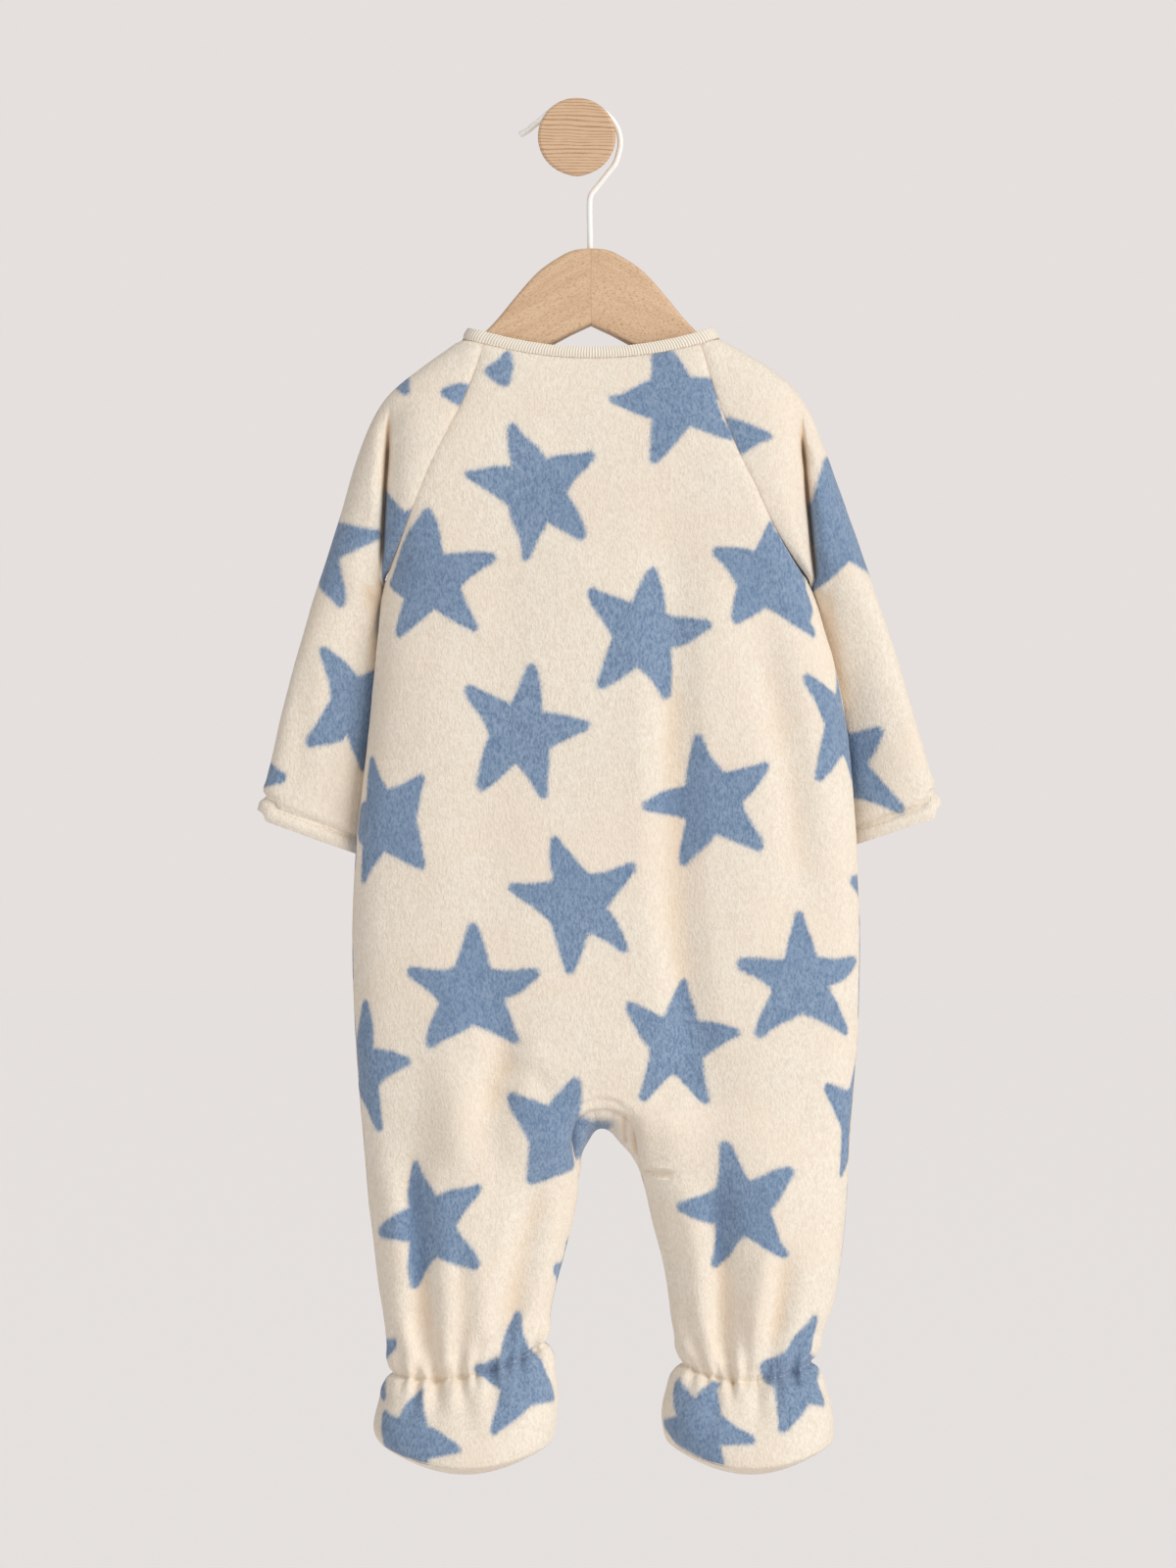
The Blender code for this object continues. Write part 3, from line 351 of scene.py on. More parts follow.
def outer_skin(name):
    """The outer skin of a piece's wall: its inner skin and its rim are taken away."""
    body = merged_copy(name)
    spines = SPINES[name]
    seen = set()
    kept = set()
    ranked = []
    for face in body.faces:
        if face in seen:
            continue
        waiting = [face]
        seen.add(face)
        region = []
        while waiting:
            here = waiting.pop()
            region.append(here)
            for edge in here.edges:
                if edge.calc_face_angle(0) > SAME_SIDE:
                    continue
                for other in edge.link_faces:
                    if other not in seen:
                        seen.add(other)
                        waiting.append(other)
        facing = 0.0
        for here in region:
            middle = here.calc_center_median()
            away = (middle - nearest_on(spines, middle)).normalized()
            facing += here.calc_area() * here.normal.dot(away)
        plain = any(all(edge.calc_face_angle(0) <= SAME_SIDE for edge in here.edges)
                    for here in region)
        ranked.append((facing, len(ranked), region))
        if facing > 0 and plain:
            kept.update(region)
    if not kept:
        most = max(facing for facing, _, _ in ranked)
        for facing, _, region in ranked:
            if facing > 0.2 * most:
                kept.update(region)
    corners = {vertex for face in kept for vertex in face.verts}
    kept.update(face for face in body.faces if all(v in corners for v in face.verts))
    bmesh.ops.delete(body, geom=[f for f in body.faces if f not in kept], context="FACES")
    bmesh.ops.join_triangles(body, faces=body.faces[:], angle_face_threshold=0.7,
                             angle_shape_threshold=1.4)
    return body


def keep_modified(piece):
    """Applies the piece's modifiers to its mesh."""
    graph = bpy.context.evaluated_depsgraph_get()
    mesh = bpy.data.meshes.new_from_object(piece.evaluated_get(graph))
    piece.modifiers.clear()
    old = piece.data
    piece.data = mesh
    bpy.data.meshes.remove(old)
    mesh.name = piece.name


def new_piece(name, body, *finishes):
    mesh = bpy.data.meshes.new(name)
    body.to_mesh(mesh)
    body.free()
    mesh.shade_smooth()
    for finish in finishes:
        mesh.materials.append(finish.material)
    piece = bpy.data.objects.new(name, mesh)
    bpy.context.scene.collection.objects.link(piece)
    return piece


def settle(piece, slot, *nodes):
    """Puts the piece on the one body, in place of the nodes that it dresses."""
    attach(piece, "root")
    if nodes:
        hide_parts(*nodes)


def refine(body, wanted, rounds=1):
    """Cuts the edges of each face whose middle is wanted."""
    for _ in range(rounds):
        middles = np.array([face.calc_center_median() for face in body.faces])
        chosen = wanted(tailor(middles))
        edges = {edge for face, hit in zip(body.faces, chosen) if hit for edge in face.edges}
        bmesh.ops.subdivide_edges(body, edges=list(edges), cuts=1, use_grid_fill=True)


# Ankle lines, x and drop of the outer and inner ends: the elastic pulls the cloth in here.
ANKLES = {"left": ((-102, 627.5), (-20.5, 612)), "right": ((115, 622), (46, 622.5))}
ANKLE_SAG = 8
# Left of this x a point is on the left leg.
LEGS_PART = 12


def ankle_drop(side, u):
    """The drop of a leg's elastic line at a share of the way from its outer to its inner end."""
    (_, out_drop), (_, in_drop) = ANKLES[side]
    return out_drop + (in_drop - out_drop) * u + ANKLE_SAG * (1 - (2 * u - 1) ** 2)


def ankle_offset(p, side):
    """How far a point hangs below its leg's elastic line."""
    (out_x, _), (in_x, _) = ANKLES[side]
    u = np.clip((p[:, 0] - out_x) / (in_x - out_x), 0, 1)
    return p[:, 2] - ankle_drop(side, u)


def by_leg(p, measure):
    """The measure of each point for the leg that it is on."""
    return np.where(p[:, 0] < LEGS_PART, measure(p, "left"), measure(p, "right"))


FOLD_DEPTH = 1.5
# The low lips beside a trough: their share of its depth, their place and width.
CREASE_LIP = (0.35, 2.0, math.sqrt(0.7))
GATHER_LIP = (0.3, 1.9, math.sqrt(0.6))
# Creases: side, points of x and drop, half width, depth (under 0 for a ridge).
CREASES = (
    ("back", ((42, 222), (43, 330), (43.5, 396), (49.5, 438), (57, 492)), 8, 1.7),
    ("back", ((60, 515), (66, 540), (68, 590), (70, 622)), 6, 1.6),
    ("back", ((84, 236), (101, 316), (112, 400)), 7, 1.2),
    ("back", ((-93, 505), (-86, 560), (-80, 622)), 6, 2.0),
    ("back", ((-66, 560), (-64, 590), (-62, 624)), 5, 1.2),
    ("back", ((-51, 503), (-44, 470), (-40, 446)), 7, 1.4),
    ("back", ((-22, 520), (-34, 570), (-46, 618)), 6, 1.6),
    ("back", ((-72, 458), (-68, 500), (-65, 530)), 9, -1.2),
    ("back", ((43, 523), (56, 570), (64, 618)), 6, -1.0),
    ("back", ((91, 553), (88, 590), (85, 614)), 6, -1.2),
    ("back", ((100, 560), (96, 590), (92, 618)), 5, 1.4),
    ("back", ((23, 521), (33, 525), (45, 526)), 1.5, 2.4),
    ("back", ((-11, 496), (-3, 490.5), (5, 488), (13, 489), (23, 496)), 1.5, 1.0),
    ("back", ((-16, 486), (-30, 474), (-48, 470)), 5, 0.9),
    ("back", ((28, 489), (44, 480), (60, 478)), 5, 0.8),
    ("back", ((-96, 262), (-70, 258), (-48, 262)), 8, 0.5),
    ("back", ((-30, 150), (0, 158), (30, 152)), 9, 0.5),
    ("front", ((-46, 230), (-54, 330), (-52, 440)), 9, 1.6),
    ("front", ((54, 240), (60, 360), (70, 470)), 9, 1.8),
    ("front", ((-88, 300), (-92, 400), (-86, 480)), 8, 1.0),
    ("front", ((96, 290), (102, 380), (96, 470)), 8, 1.2),
    ("front", ((-30, 500), (-44, 560), (-52, 618)), 6, 1.6),
    ("front", ((-84, 540), (-78, 590), (-74, 620)), 6, 1.4),
    ("front", ((60, 520), (70, 580), (72, 618)), 6, 1.5),
    ("front", ((104, 540), (96, 590), (92, 616)), 6, 1.4),
    ("front", ((-14, 486), (-34, 474), (-52, 472)), 5, 1.0),
    ("front", ((26, 488), (44, 476), (62, 476)), 5, 1.0),
    ("sleeve", ((-146, 250), (-148, 300), (-150, 340)), 6, 0.8),
    ("sleeve", ((-124, 256), (-122, 300), (-128, 344)), 6, -0.6),
    ("sleeve", ((134, 262), (140, 300), (150, 340)), 6, 0.9),
    ("sleeve", ((158, 268), (164, 300), (168, 332)), 6, -0.6),
)
# Gathers at the elastic: x on the line, then reach and lean above it, reach and lean below it,
# half width and depth.
GATHERS = {
    "left": ((-95, 16, -0.1, 10, 0.0, 1.8, 1.2), (-87, 9, 0.0, 15, -0.08, 2.0, 1.9),
             (-77.5, 44, -0.3, 14, 0.05, 3.0, 3.1), (-70.5, 10, -0.1, 8, 0.0, 1.7, 1.1),
             (-65, 24, -0.12, 22, 0.2, 2.4, 2.0), (-57.5, 12, 0.1, 11, 0.05, 1.9, 1.7),
             (-50, 34, 0.5, 14, 0.3, 2.8, 2.0), (-42, 8, 0.2, 9, 0.0, 1.7, 1.2),
             (-34.5, 14, 0.25, 10, 0.0, 2.0, 1.5), (-27, 9, 0.1, 8, 0.1, 1.8, 1.1)),
    "right": ((53, 12, -0.2, 10, -0.1, 1.8, 1.2), (59.5, 20, -0.45, 9, 0.0, 2.2, 1.7),
              (65.5, 8, -0.1, 13, -0.05, 1.7, 1.5), (72, 38, -0.2, 9, 0.0, 2.3, 3.2),
              (79.5, 13, 0.0, 7, 0.0, 1.9, 1.4), (84, 9, 0.1, 19, 0.1, 2.2, 2.5),
              (88.5, 46, 0.25, 8, 0.0, 3.0, 2.3), (95, 9, 0.1, 12, 0.1, 1.8, 1.5),
              (104, 15, 0.15, 10, 0.0, 2.0, 1.5), (110.5, 10, 0.0, 8, 0.1, 1.7, 1.1)),
}


def trough(reach, lip):
    """The section of a crease across it."""
    share, spot, width = lip
    return bell(reach, 1) - share * bell(reach - spot, width)


def crease_push(p, wanted):
    """How deep the creases of one side press in at each point."""
    push = np.zeros(len(p))
    flat = p[:, (0, 2)]
    for side, points, width, depth in CREASES:
        if side != wanted:
            continue
        points = np.array(points, dtype=float)
        spans = np.hypot(*np.diff(points, axis=0).T)
        best = np.full(len(p), np.inf)
        along = np.zeros(len(p))
        start = 0.0
        for a, b, span in zip(points, points[1:], spans):
            away, share = off_line(flat, a, b)
            along = np.where(away < best, (start + share * span) / spans.sum(), along)
            best = np.minimum(best, away)
            start += span
        fade = smoothstep(along, 0.0, 0.3) * smoothstep(1 - along, 0.0, 0.3)
        push += FOLD_DEPTH * depth * fade * trough(best / width, CREASE_LIP)
    return push


def gather_push(p, side):
    """How deep the elastic and its gathers press in, and how the cloth puffs out beside them."""
    below = ankle_offset(p, side)
    push = 2.3 * bell(below, 1.5) - 1.0 * bell(abs(below) - 7.5, 4.0)
    for x, above, lean_above, under, lean_under, width, depth in GATHERS[side]:
        up = below < 0
        reach = abs(below) / np.where(up, above, under)
        middle = x + np.where(up, lean_above, lean_under) * abs(below)
        across = abs(p[:, 0] - middle) / (width * (1 + abs(below) / 26))
        push += depth * bell(reach, 1) * trough(across, GATHER_LIP)
    return push


def rolling(p):
    """Slow uneven swells of the cloth."""
    x, y, d = p.T
    return (np.sin(x / 17 + d / 61 + 0.7) * np.sin(d / 29 + y / 23)
            + 0.6 * np.sin(x / 11 - d / 37 + 2.1) * np.sin(d / 17 + 1.3)
            + 0.35 * np.sin(x / 6.1 + d / 8.3) * np.sin(d / 7.2 - y / 9.1)) * 0.35


def edge_rings(body):
    """The piece's boundary edges, one list for each ring of them."""
    waiting = {edge for edge in body.edges if edge.is_boundary}
    rings = []
    while waiting:
        ring = []
        ends = [waiting.pop()]
        while ends:
            edge = ends.pop()
            ring.append(edge)
            for vertex in edge.verts:
                for other in vertex.link_edges:
                    if other in waiting:
                        waiting.remove(other)
                        ends.append(other)
        rings.append(ring)
    return rings


def mean_drop(ring):
    return -sum(v.co.z for edge in ring for v in edge.verts) / len(ring) / 2 / MM


# A sleeve's edges below this drop are its cuff's.
CUFF_DROP = 330


def sewn_edges(body, name):
    """Boundary edges that are sewn: not a sleeve's cuff and not the neckband's top."""
    rings = edge_rings(body)
    if name == "neckband":
        return max(rings, key=mean_drop)
    return [edge for ring in rings for edge in ring
            if not name.startswith("sleeve") or mean_drop([edge]) < CUFF_DROP]


def edge_tree(edges):
    """Marks a millimetre apart along the edges."""
    marks = []
    for edge in edges:
        a, b = (vertex.co for vertex in edge.verts)
        count = max(2, int((b - a).length / MM) + 1)
        marks += [a.lerp(b, i / count) for i in range(count)]
    tree = KDTree(len(marks))
    for i, mark in enumerate(marks):
        tree.insert(mark, i)
    tree.balance()
    return tree


def edge_distances(body, edges):
    """Distance of every vertex from the edges, in millimetres."""
    tree = edge_tree(edges)
    return np.array([tree.find(vertex.co)[2] for vertex in body.verts]) / MM


# How far every sewn edge is drawn out to meet the next piece, and the spots where it reaches
# further: piece, x, drop, half width, reach, and the y that it has to lie beyond.
EDGE_CLOSE = 0.22
CLOSE_SPOTS = (
    ("sleeve", -107, 229.5, 11, 1.5, -99), ("sleeve", 117, 230, 11, 1.5, -99),
    ("crotch_gusset", 7, 486, 8, 5.2, -30), ("crotch_gusset", 25, 522, 7, 2.0, -42),
    ("front", 7, 487, 6, 1.6, -99), ("front", 26, 525, 7, 1.6, -99),
)
# Wrinkles across the rolled gusset: both ends, half width and depth.
GUSSET_CREASES = (
    ((18, 496), (19.5, 508), 1.1, 2.4), ((23.2, 505), (23.8, 515), 1.1, 2.6),
    ((12.5, 495), (14, 506), 1.5, 0.9), ((2, 492), (4, 500), 1.6, 0.8),
    ((26, 513), (24.5, 522), 1.2, 1.2),
)


def edge_growth(body, name):
    """For the vertices on a sewn edge, the way out of the piece along its surface."""
    out = np.zeros((len(body.verts), 3))
    for edge in sewn_edges(body, name):
        a, b = (vertex.co for vertex in edge.verts)
        run = (b - a).normalized()
        away = (a + b) / 2 - edge.link_faces[0].calc_center_median()
        away = (away - run * away.dot(run)).normalized()
        for vertex in edge.verts:
            out[vertex.index] += away
    length = np.linalg.norm(out, axis=1)
    return out / np.where(length > 0, length, 1)[:, None]


# The slits where the sleeves fold under the arms: x and drop of their ends and middles.
SLITS = {
    "sleeve_left": ((-101.5, 140), (-103.8, 180), (-106, 224)),
    "sleeve_right": ((108, 142), (111.5, 184), (115.5, 224)),
}


def slit_place(p, name):
    """How far right of the slit each point lies, and how much of the slit is beside it."""
    line = np.interp(p[:, 2], [drop for _, drop in SLITS[name]], [x for x, _ in SLITS[name]])
    top = SLITS[name][0][1]
    return p[:, 0] - line, smoothstep(p[:, 2], top - 8, top + 22)


# The middle lines of the suit and of its parts, as x.
SUIT_MIDDLE = 8.0
ARM_MIDDLES = {"sleeve_left": -125.0, "sleeve_right": 135.0}
LEG_MIDDLES = (-62.0, 81.0)
# How much the print is drawn in where the cloth turns away at the sides.
PRINT_TURN = 0.75


def print_place(p, name):
    """Where each point lies on the printed cloth."""
    x, y, drop = p.T
    if name == "crotch_gusset":
        return x, drop
    if name.startswith(("front", "foot")) or name == "placket":
        depth = np.maximum(0, -17 - y)
    elif name.startswith("sleeve"):
        depth = np.maximum(0, y + 36)
    else:
        depth = np.maximum(0, y + 57)
    side = np.sign(x - ARM_MIDDLES.get(name, SUIT_MIDDLE))
    leg = (x - np.where(x < SUIT_MIDDLE, *LEG_MIDDLES)) / 18
    legs = smoothstep(drop, 488, 506)
    if name == "back":
        side = side + (np.sign(leg) - side) * legs
    elif name.startswith(("front", "foot")):
        side = side + (np.clip(leg, -1, 1) - side) * legs
    return x + side * PRINT_TURN * depth, drop


SLOT = 6


def side_edges(p):
    """The lowest and highest x of the piece at each point's drop."""
    start = p[:, 2].min()
    slot = ((p[:, 2] - start) / SLOT).astype(int)
    low = np.full(slot.max() + 1, np.inf)
    high = -low
    np.minimum.at(low, slot, p[:, 0])
    np.maximum.at(high, slot, p[:, 0])
    filled = np.isfinite(low)
    middles = start + SLOT * (np.flatnonzero(filled) + 0.5)
    return tuple(np.interp(p[:, 2], middles, edge[filled]) for edge in (low, high))


def sleeve_print(p, field, name):
    """The sleeve's print with its own stars beside the slit and on the side to the wall."""
    across = slit_place(p, name)[0] * (1 if name == "sleeve_left" else -1)
    strip = (across > 0) & (p[:, 1] < -26) & (p[:, 2] < 242)
    field = np.where(strip, star_field(*print_place(p, name), STARS_STRIP[name]), field)
    low, high = side_edges(p)
    inside = np.minimum(p[:, 0] - low, high - p[:, 0])
    edge = np.where(p[:, 0] < (low + high) / 2, low, high)
    hidden = np.minimum(star_field(2 * edge - p[:, 0], p[:, 2], STARS[name]),
                        np.maximum(star_field(p[:, 0], p[:, 2], STARS_FRONT), 4 - inside))
    line = np.interp(p[:, 2], (112, 215, 352), (-38, -34, -22))
    return np.where(p[:, 1] > line, hidden, field)


def print_field(p, name):
    """Signed distance of each point from the edge of the print's nearest star."""
    if name.startswith("sole"):
        return np.full(len(p), STAR_FAR)
    u, v = print_place(p, name)
    field = star_field(u, v, STARS.get(name, STARS_FRONT))
    if name == "crotch_gusset":
        return field * 0.55
    if name == "back":
        left = np.minimum(field, star_field(u, v, STARS_LEFT_LEG))
        field = np.where(p[:, 0] < SUIT_MIDDLE, left, field)
    if name in SLITS:
        field = sleeve_print(p, field, name)
    return field


def front_stars():
    """The print on the side that faces the wall: the same stars in uneven rows."""
    uneven = np.random.default_rng(11)
    rows, columns = 10, range(-3, 4)
    row_step, column_step = 59, 106
    made = []
    for row in range(rows):
        for column in columns:
            x = column * column_step + row % 2 * column_step / 2 + uneven.uniform(-7, 7)
            made.append((x, 132 + row * row_step + uneven.uniform(-6, 6),
                         "abcd"[(row + column) % 4], uneven.uniform(-4, 4),
                         uneven.uniform(34.5, 36)))
    return tuple(made)


STARS_FRONT = front_stars()


def add_attribute(mesh, name, values):
    layer = mesh.attributes.new(name, "FLOAT", "POINT")
    layer.data.foreach_set("value", np.asarray(values, dtype=np.float32))


def neck_length(p, seam):
    """How far round the neck each point lies, measured along the sewn edge."""
    angle = np.arctan2(p[:, 0] - 2, -(p[:, 1] + 37))
    sewn = np.flatnonzero(seam < 0.3)
    sewn = sewn[np.argsort(angle[sewn])]
    steps = np.hypot(*np.diff(p[sewn, :2], axis=0).T)
    return np.interp(angle, angle[sewn], np.concatenate(([0], np.cumsum(steps))))


# The sleeves' folds under the arms, and the trunk's edges that they lie against, as drops and xs.
UNDERARMS = ((-107, 229.5), (117, 230))
ARM_EDGES = {
    "sleeve_left": ((225, 240, 290, 360), (-109, -106, -107, -115)),
    "sleeve_right": ((225, 242, 290, 355), (119, 120, 128, 134)),
}
LEG_PIECES = ("back", "front_left", "front_right", "foot_upper_left", "foot_upper_right")
FLAT_PIECES = ("placket", "crotch_gusset", "sole_left", "sole_right", "neckband")
# The middle of the gusset, as x and drop.
CROTCH = (8, 508)
PLACKET_X = 7
# The cuff's stitched line lies this far above its edge.
CUFF_LINE = 8.0
CLOTH_WALL = 2.0
CUFF_WALL = 3.2
RIB_WALL = 2.6
# The wall beside the folds under the arms.
THIN_WALL = 0.9
RIM_WIDTH = 0.35


def refine_cloth(body, name):
    """Smaller faces where creases, the slits and the edges of the print need them."""
    if name == "back":
        refine(body, lambda p: (away_from(p, 8, 502) < 36) | (away_from(p, 35, 524) < 13))
        refine(body, lambda p: (by_leg(p, ankle_offset) > -32) & (by_leg(p, ankle_offset) < 24))
    if name in SLITS:
        for reach in (9, 5, 2.5):
            refine(body, lambda p: (abs(slit_place(p, name)[0]) < reach) & (p[:, 1] < -30)
                   & (p[:, 2] < 240) & (p[:, 2] > 130))
    if name == "crotch_gusset":
        refine(body, lambda p: p[:, 2] > 0, 2)
    else:
        refine(body, lambda p: abs(print_field(p, name)) < 3)


def off_placket(p):
    """0 under the placket and 1 clear of it."""
    return smoothstep(abs(p[:, 0] - PLACKET_X), 14, 26)


def main_creases(p, normals, name):
    """How deep each point lies in the creases of its piece and in a sleeve's slit."""
    if name == "back":
        return crease_push(p, "back")
    if name.startswith("front"):
        return crease_push(p, "front") * off_placket(p)
    if not name.startswith("sleeve"):
        return np.zeros(len(p))
    to_room = normals[:, 1] < 0
    across, beside = slit_place(p, name)
    outside = across * (-1 if name == "sleeve_left" else 1)
    slit = 7.0 * bell(across, 1.3) + 1.8 * bell(across, 5.0) - 1.6 * bell(outside - 5.5, 3.5)
    return crease_push(p, "sleeve") * np.where(to_room, 1.0, 0.6) + beside * to_room * slit


def swells(p, seam, name):
    """How far the cloth swells out between its seams."""
    if name in FLAT_PIECES:
        return np.zeros(len(p))
    swell = rolling(p) * smoothstep(seam, 0, 14)
    return swell * off_placket(p) if name.startswith("front") else swell


def edge_reach(p, name):
    """How far a sewn edge at each point is drawn out."""
    reach = np.full(len(p), EDGE_CLOSE)
    for prefix, x, drop, width, extra, beyond in CLOSE_SPOTS:
        if name.startswith(prefix):
            reach += extra * bell(away_from(p, x, drop), width) * (p[:, 1] > beyond)
    return reach


def arm_contact(p, name):
    """How far a sleeve is moved to lie against the trunk, and the shade where it does."""
    away = 1 if name == "sleeve_left" else -1
    right = p[:, 0] - np.interp(p[:, 2], *ARM_EDGES[name])
    start = smoothstep(p[:, 2], 221, 233)
    near = smoothstep(-abs(right), -22, 0) * start * (1 - smoothstep(p[:, 2], 285, 330))
    covered = right * away + 6
    shade = 1.5 * smoothstep(covered, -16, 0) + 4.5 * smoothstep(covered, -4.5, 1)
    shade *= start * (1 - smoothstep(p[:, 2], 308, 335))
    strength = 1.0 if name == "sleeve_left" else 0.6
    return away * 3.6 * near, shade * strength * (p[:, 1] < -20)


def deep_fold(p, seam, width):
    """The fold where the left leg's cloth rolls over the gusset."""
    near = bell(np.hypot(p[:, 0] + 8.5, (p[:, 2] - 508) * 0.6), 7)
    return near * bell(seam, width) * (p[:, 1] < -30)


def gusset_press(p, normals, seam):
    """How deep the gusset's seams and wrinkles press in, and the shade in them."""
    low_end = smoothstep(p[:, 2], 507, 519)
    press = 0.5 * bell(seam, 1.4) - 2.3 * smoothstep(seam, 0.3, 4.5) * (1 - low_end)
    to_room = smoothstep(-normals[:, 1], 0.05, 0.5)
    wrinkles = np.zeros(len(p))
    for a, b, width, depth in GUSSET_CREASES:
        away, _ = off_line(p[:, (0, 2)], np.array(a), np.array(b))
        wrinkles += depth * bell(away, width) * to_room
    deep = deep_fold(p, seam, 1.4)
    return press + 0.6 * wrinkles + 1.6 * deep, 1.6 * wrinkles + 9 * deep


def crotch_press(p, seam):
    """How the cloth lies beside the gusset: a little proud, and rolled over it at the left, with
    painted shade in that fold.
    """
    near = 1 - smoothstep(away_from(p, *CROTCH), 26, 36)
    inner_leg = smoothstep(p[:, 0], 18, 25) * smoothstep(p[:, 2], 492, 504) \
        * (1 - smoothstep(p[:, 2], 516, 540)) * (p[:, 1] < -45)
    deep = deep_fold(p, seam, 1.6)
    proud = 0.3 * bell(seam, 2.0) * near + 1.8 * bell(seam - 6, 5.5) * inner_leg
    return 1.2 * deep - proud, 7 * deep


def fine_form(p, normals, seam, hem, name):
    """How deep seams, hems and gathers press in, and the shade in them."""
    if name == "crotch_gusset":
        return gusset_press(p, normals, seam)
    press = 0.6 * bell(seam, 1.7)
    shade = np.zeros(len(p))
    if name in ("back", "front_left", "front_right"):
        beside, deep = crotch_press(p, seam)
        press += beside
        shade += deep
    if hem is not None:
        groove = bell(hem - CUFF_LINE, 1.2)
        press += 2.0 * groove - 1.2 * bell(hem - 3.6, 2.8) - 0.7 * bell(hem - 12.0, 3.0)
        shade += 1.5 * groove
    if name in LEG_PIECES:
        gathered = by_leg(p, gather_push) * smoothstep(p[:, 2], 545, 565)
        press += gathered
        shade += gathered * 0.5
    return press, shade


def add_wall(piece, wall, factor):
    """Gives the sheet its thickness on the inner side, with a softened rim."""
    group = piece.vertex_groups.new(name="wall")
    for i, value in enumerate(factor):
        group.add((i,), float(value), "REPLACE")
    thick = piece.modifiers.new("wall", "SOLIDIFY")
    thick.thickness = wall * MM
    thick.offset = -1
    thick.vertex_group = "wall"
    thick.use_rim = True
    rim = piece.modifiers.new("rim", "BEVEL")
    rim.width = RIM_WIDTH * MM
    rim.segments = 2
    rim.limit_method = "ANGLE"
    rim.angle_limit = math.radians(55)


def cloth_piece(name, finish, wall=CLOTH_WALL):
    """A thin shell on the outer side of a solid, with its creases, print and wall."""
    piece = new_piece("cloth_" + name, outer_skin(name), finish)
    smooth = piece.modifiers.new("smooth", "SUBSURF")
    smooth.levels = smooth.render_levels = 2
    smooth.boundary_smooth = "PRESERVE_CORNERS"
    keep_modified(piece)
    body = bmesh.new()
    body.from_mesh(piece.data)
    refine_cloth(body, name)
    sewn = sewn_edges(body, name)
    seam = edge_distances(body, sewn)
    hem = None
    if name.startswith("sleeve"):
        hem = edge_distances(body, [e for e in body.edges if e.is_boundary and e not in sewn])
    body.normal_update()
    moved = np.array([vertex.co for vertex in body.verts])
    normals = np.array([vertex.normal for vertex in body.verts])
    p = tailor(moved)

    fold = main_creases(p, normals, name) * smoothstep(seam, 0, 9) * np.abs(normals[:, 1]) ** 0.7
    moved[:, 1] += np.where(normals[:, 1] < 0, 1.0, -1.0) * (fold * MM)
    moved += edge_growth(body, name) * (edge_reach(p, name)[:, None] * MM)
    if name.startswith("sleeve"):
        shift, shade = arm_contact(p, name)
        moved[:, 0] += shift * MM
        fold = fold + shade
    press, shade = fine_form(p, normals, seam, hem, name)
    outward = normals.copy()
    if name.startswith(("front", "foot")):
        outward[:, 2] *= 1 - bell(seam, 3.0) * smoothstep(p[:, 2], 560, 590)
    moved -= outward * ((press - swells(p, seam, name))[:, None] * MM)
    for vertex, spot in zip(body.verts, moved):
        vertex.co = spot
    body.to_mesh(piece.data)
    body.free()
    mesh = piece.data
    mesh.shade_smooth()

    add_attribute(mesh, "star", np.clip(print_field(p, name), -8, 8))
    # The fold attribute carries the creases' depth plus the shade of seams, hems, gathers and the
    # sleeves' contact with the trunk; the fleece paints it as darker colour, which is painted
    # shade.
    add_attribute(mesh, "fold", np.clip(fold + shade, 0, 8))
    if name == "neckband":
        add_attribute(mesh, "around", neck_length(p, seam))
    # Near the crotch the back and the gusset count as further from their seams, so the painted seam
    # shade is fainter there.
    seam_shade_fade = 0.7 if name in ("back", "crotch_gusset") else 0.0
    near = 1 - smoothstep(away_from(p, *CROTCH), 30, 40)
    add_attribute(mesh, "seam", np.clip(seam + seam_shade_fade * near, 0, 12))

    tight = np.minimum(*(away_from(p, *spot) for spot in UNDERARMS))
    factor = np.minimum(1.0, (THIN_WALL + 0.04 * tight) / CLOTH_WALL)
    if hem is not None:
        factor = np.minimum(1.0, factor * wall / CUFF_WALL + 0.4 * bell(hem, 9) * 1.2)
        wall = CUFF_WALL
    add_wall(piece, wall, factor)
    settle(piece, "rib" if name == "neckband" else "fleece", name)
    return piece


# ---- materials

RIB_PITCH = 1.45


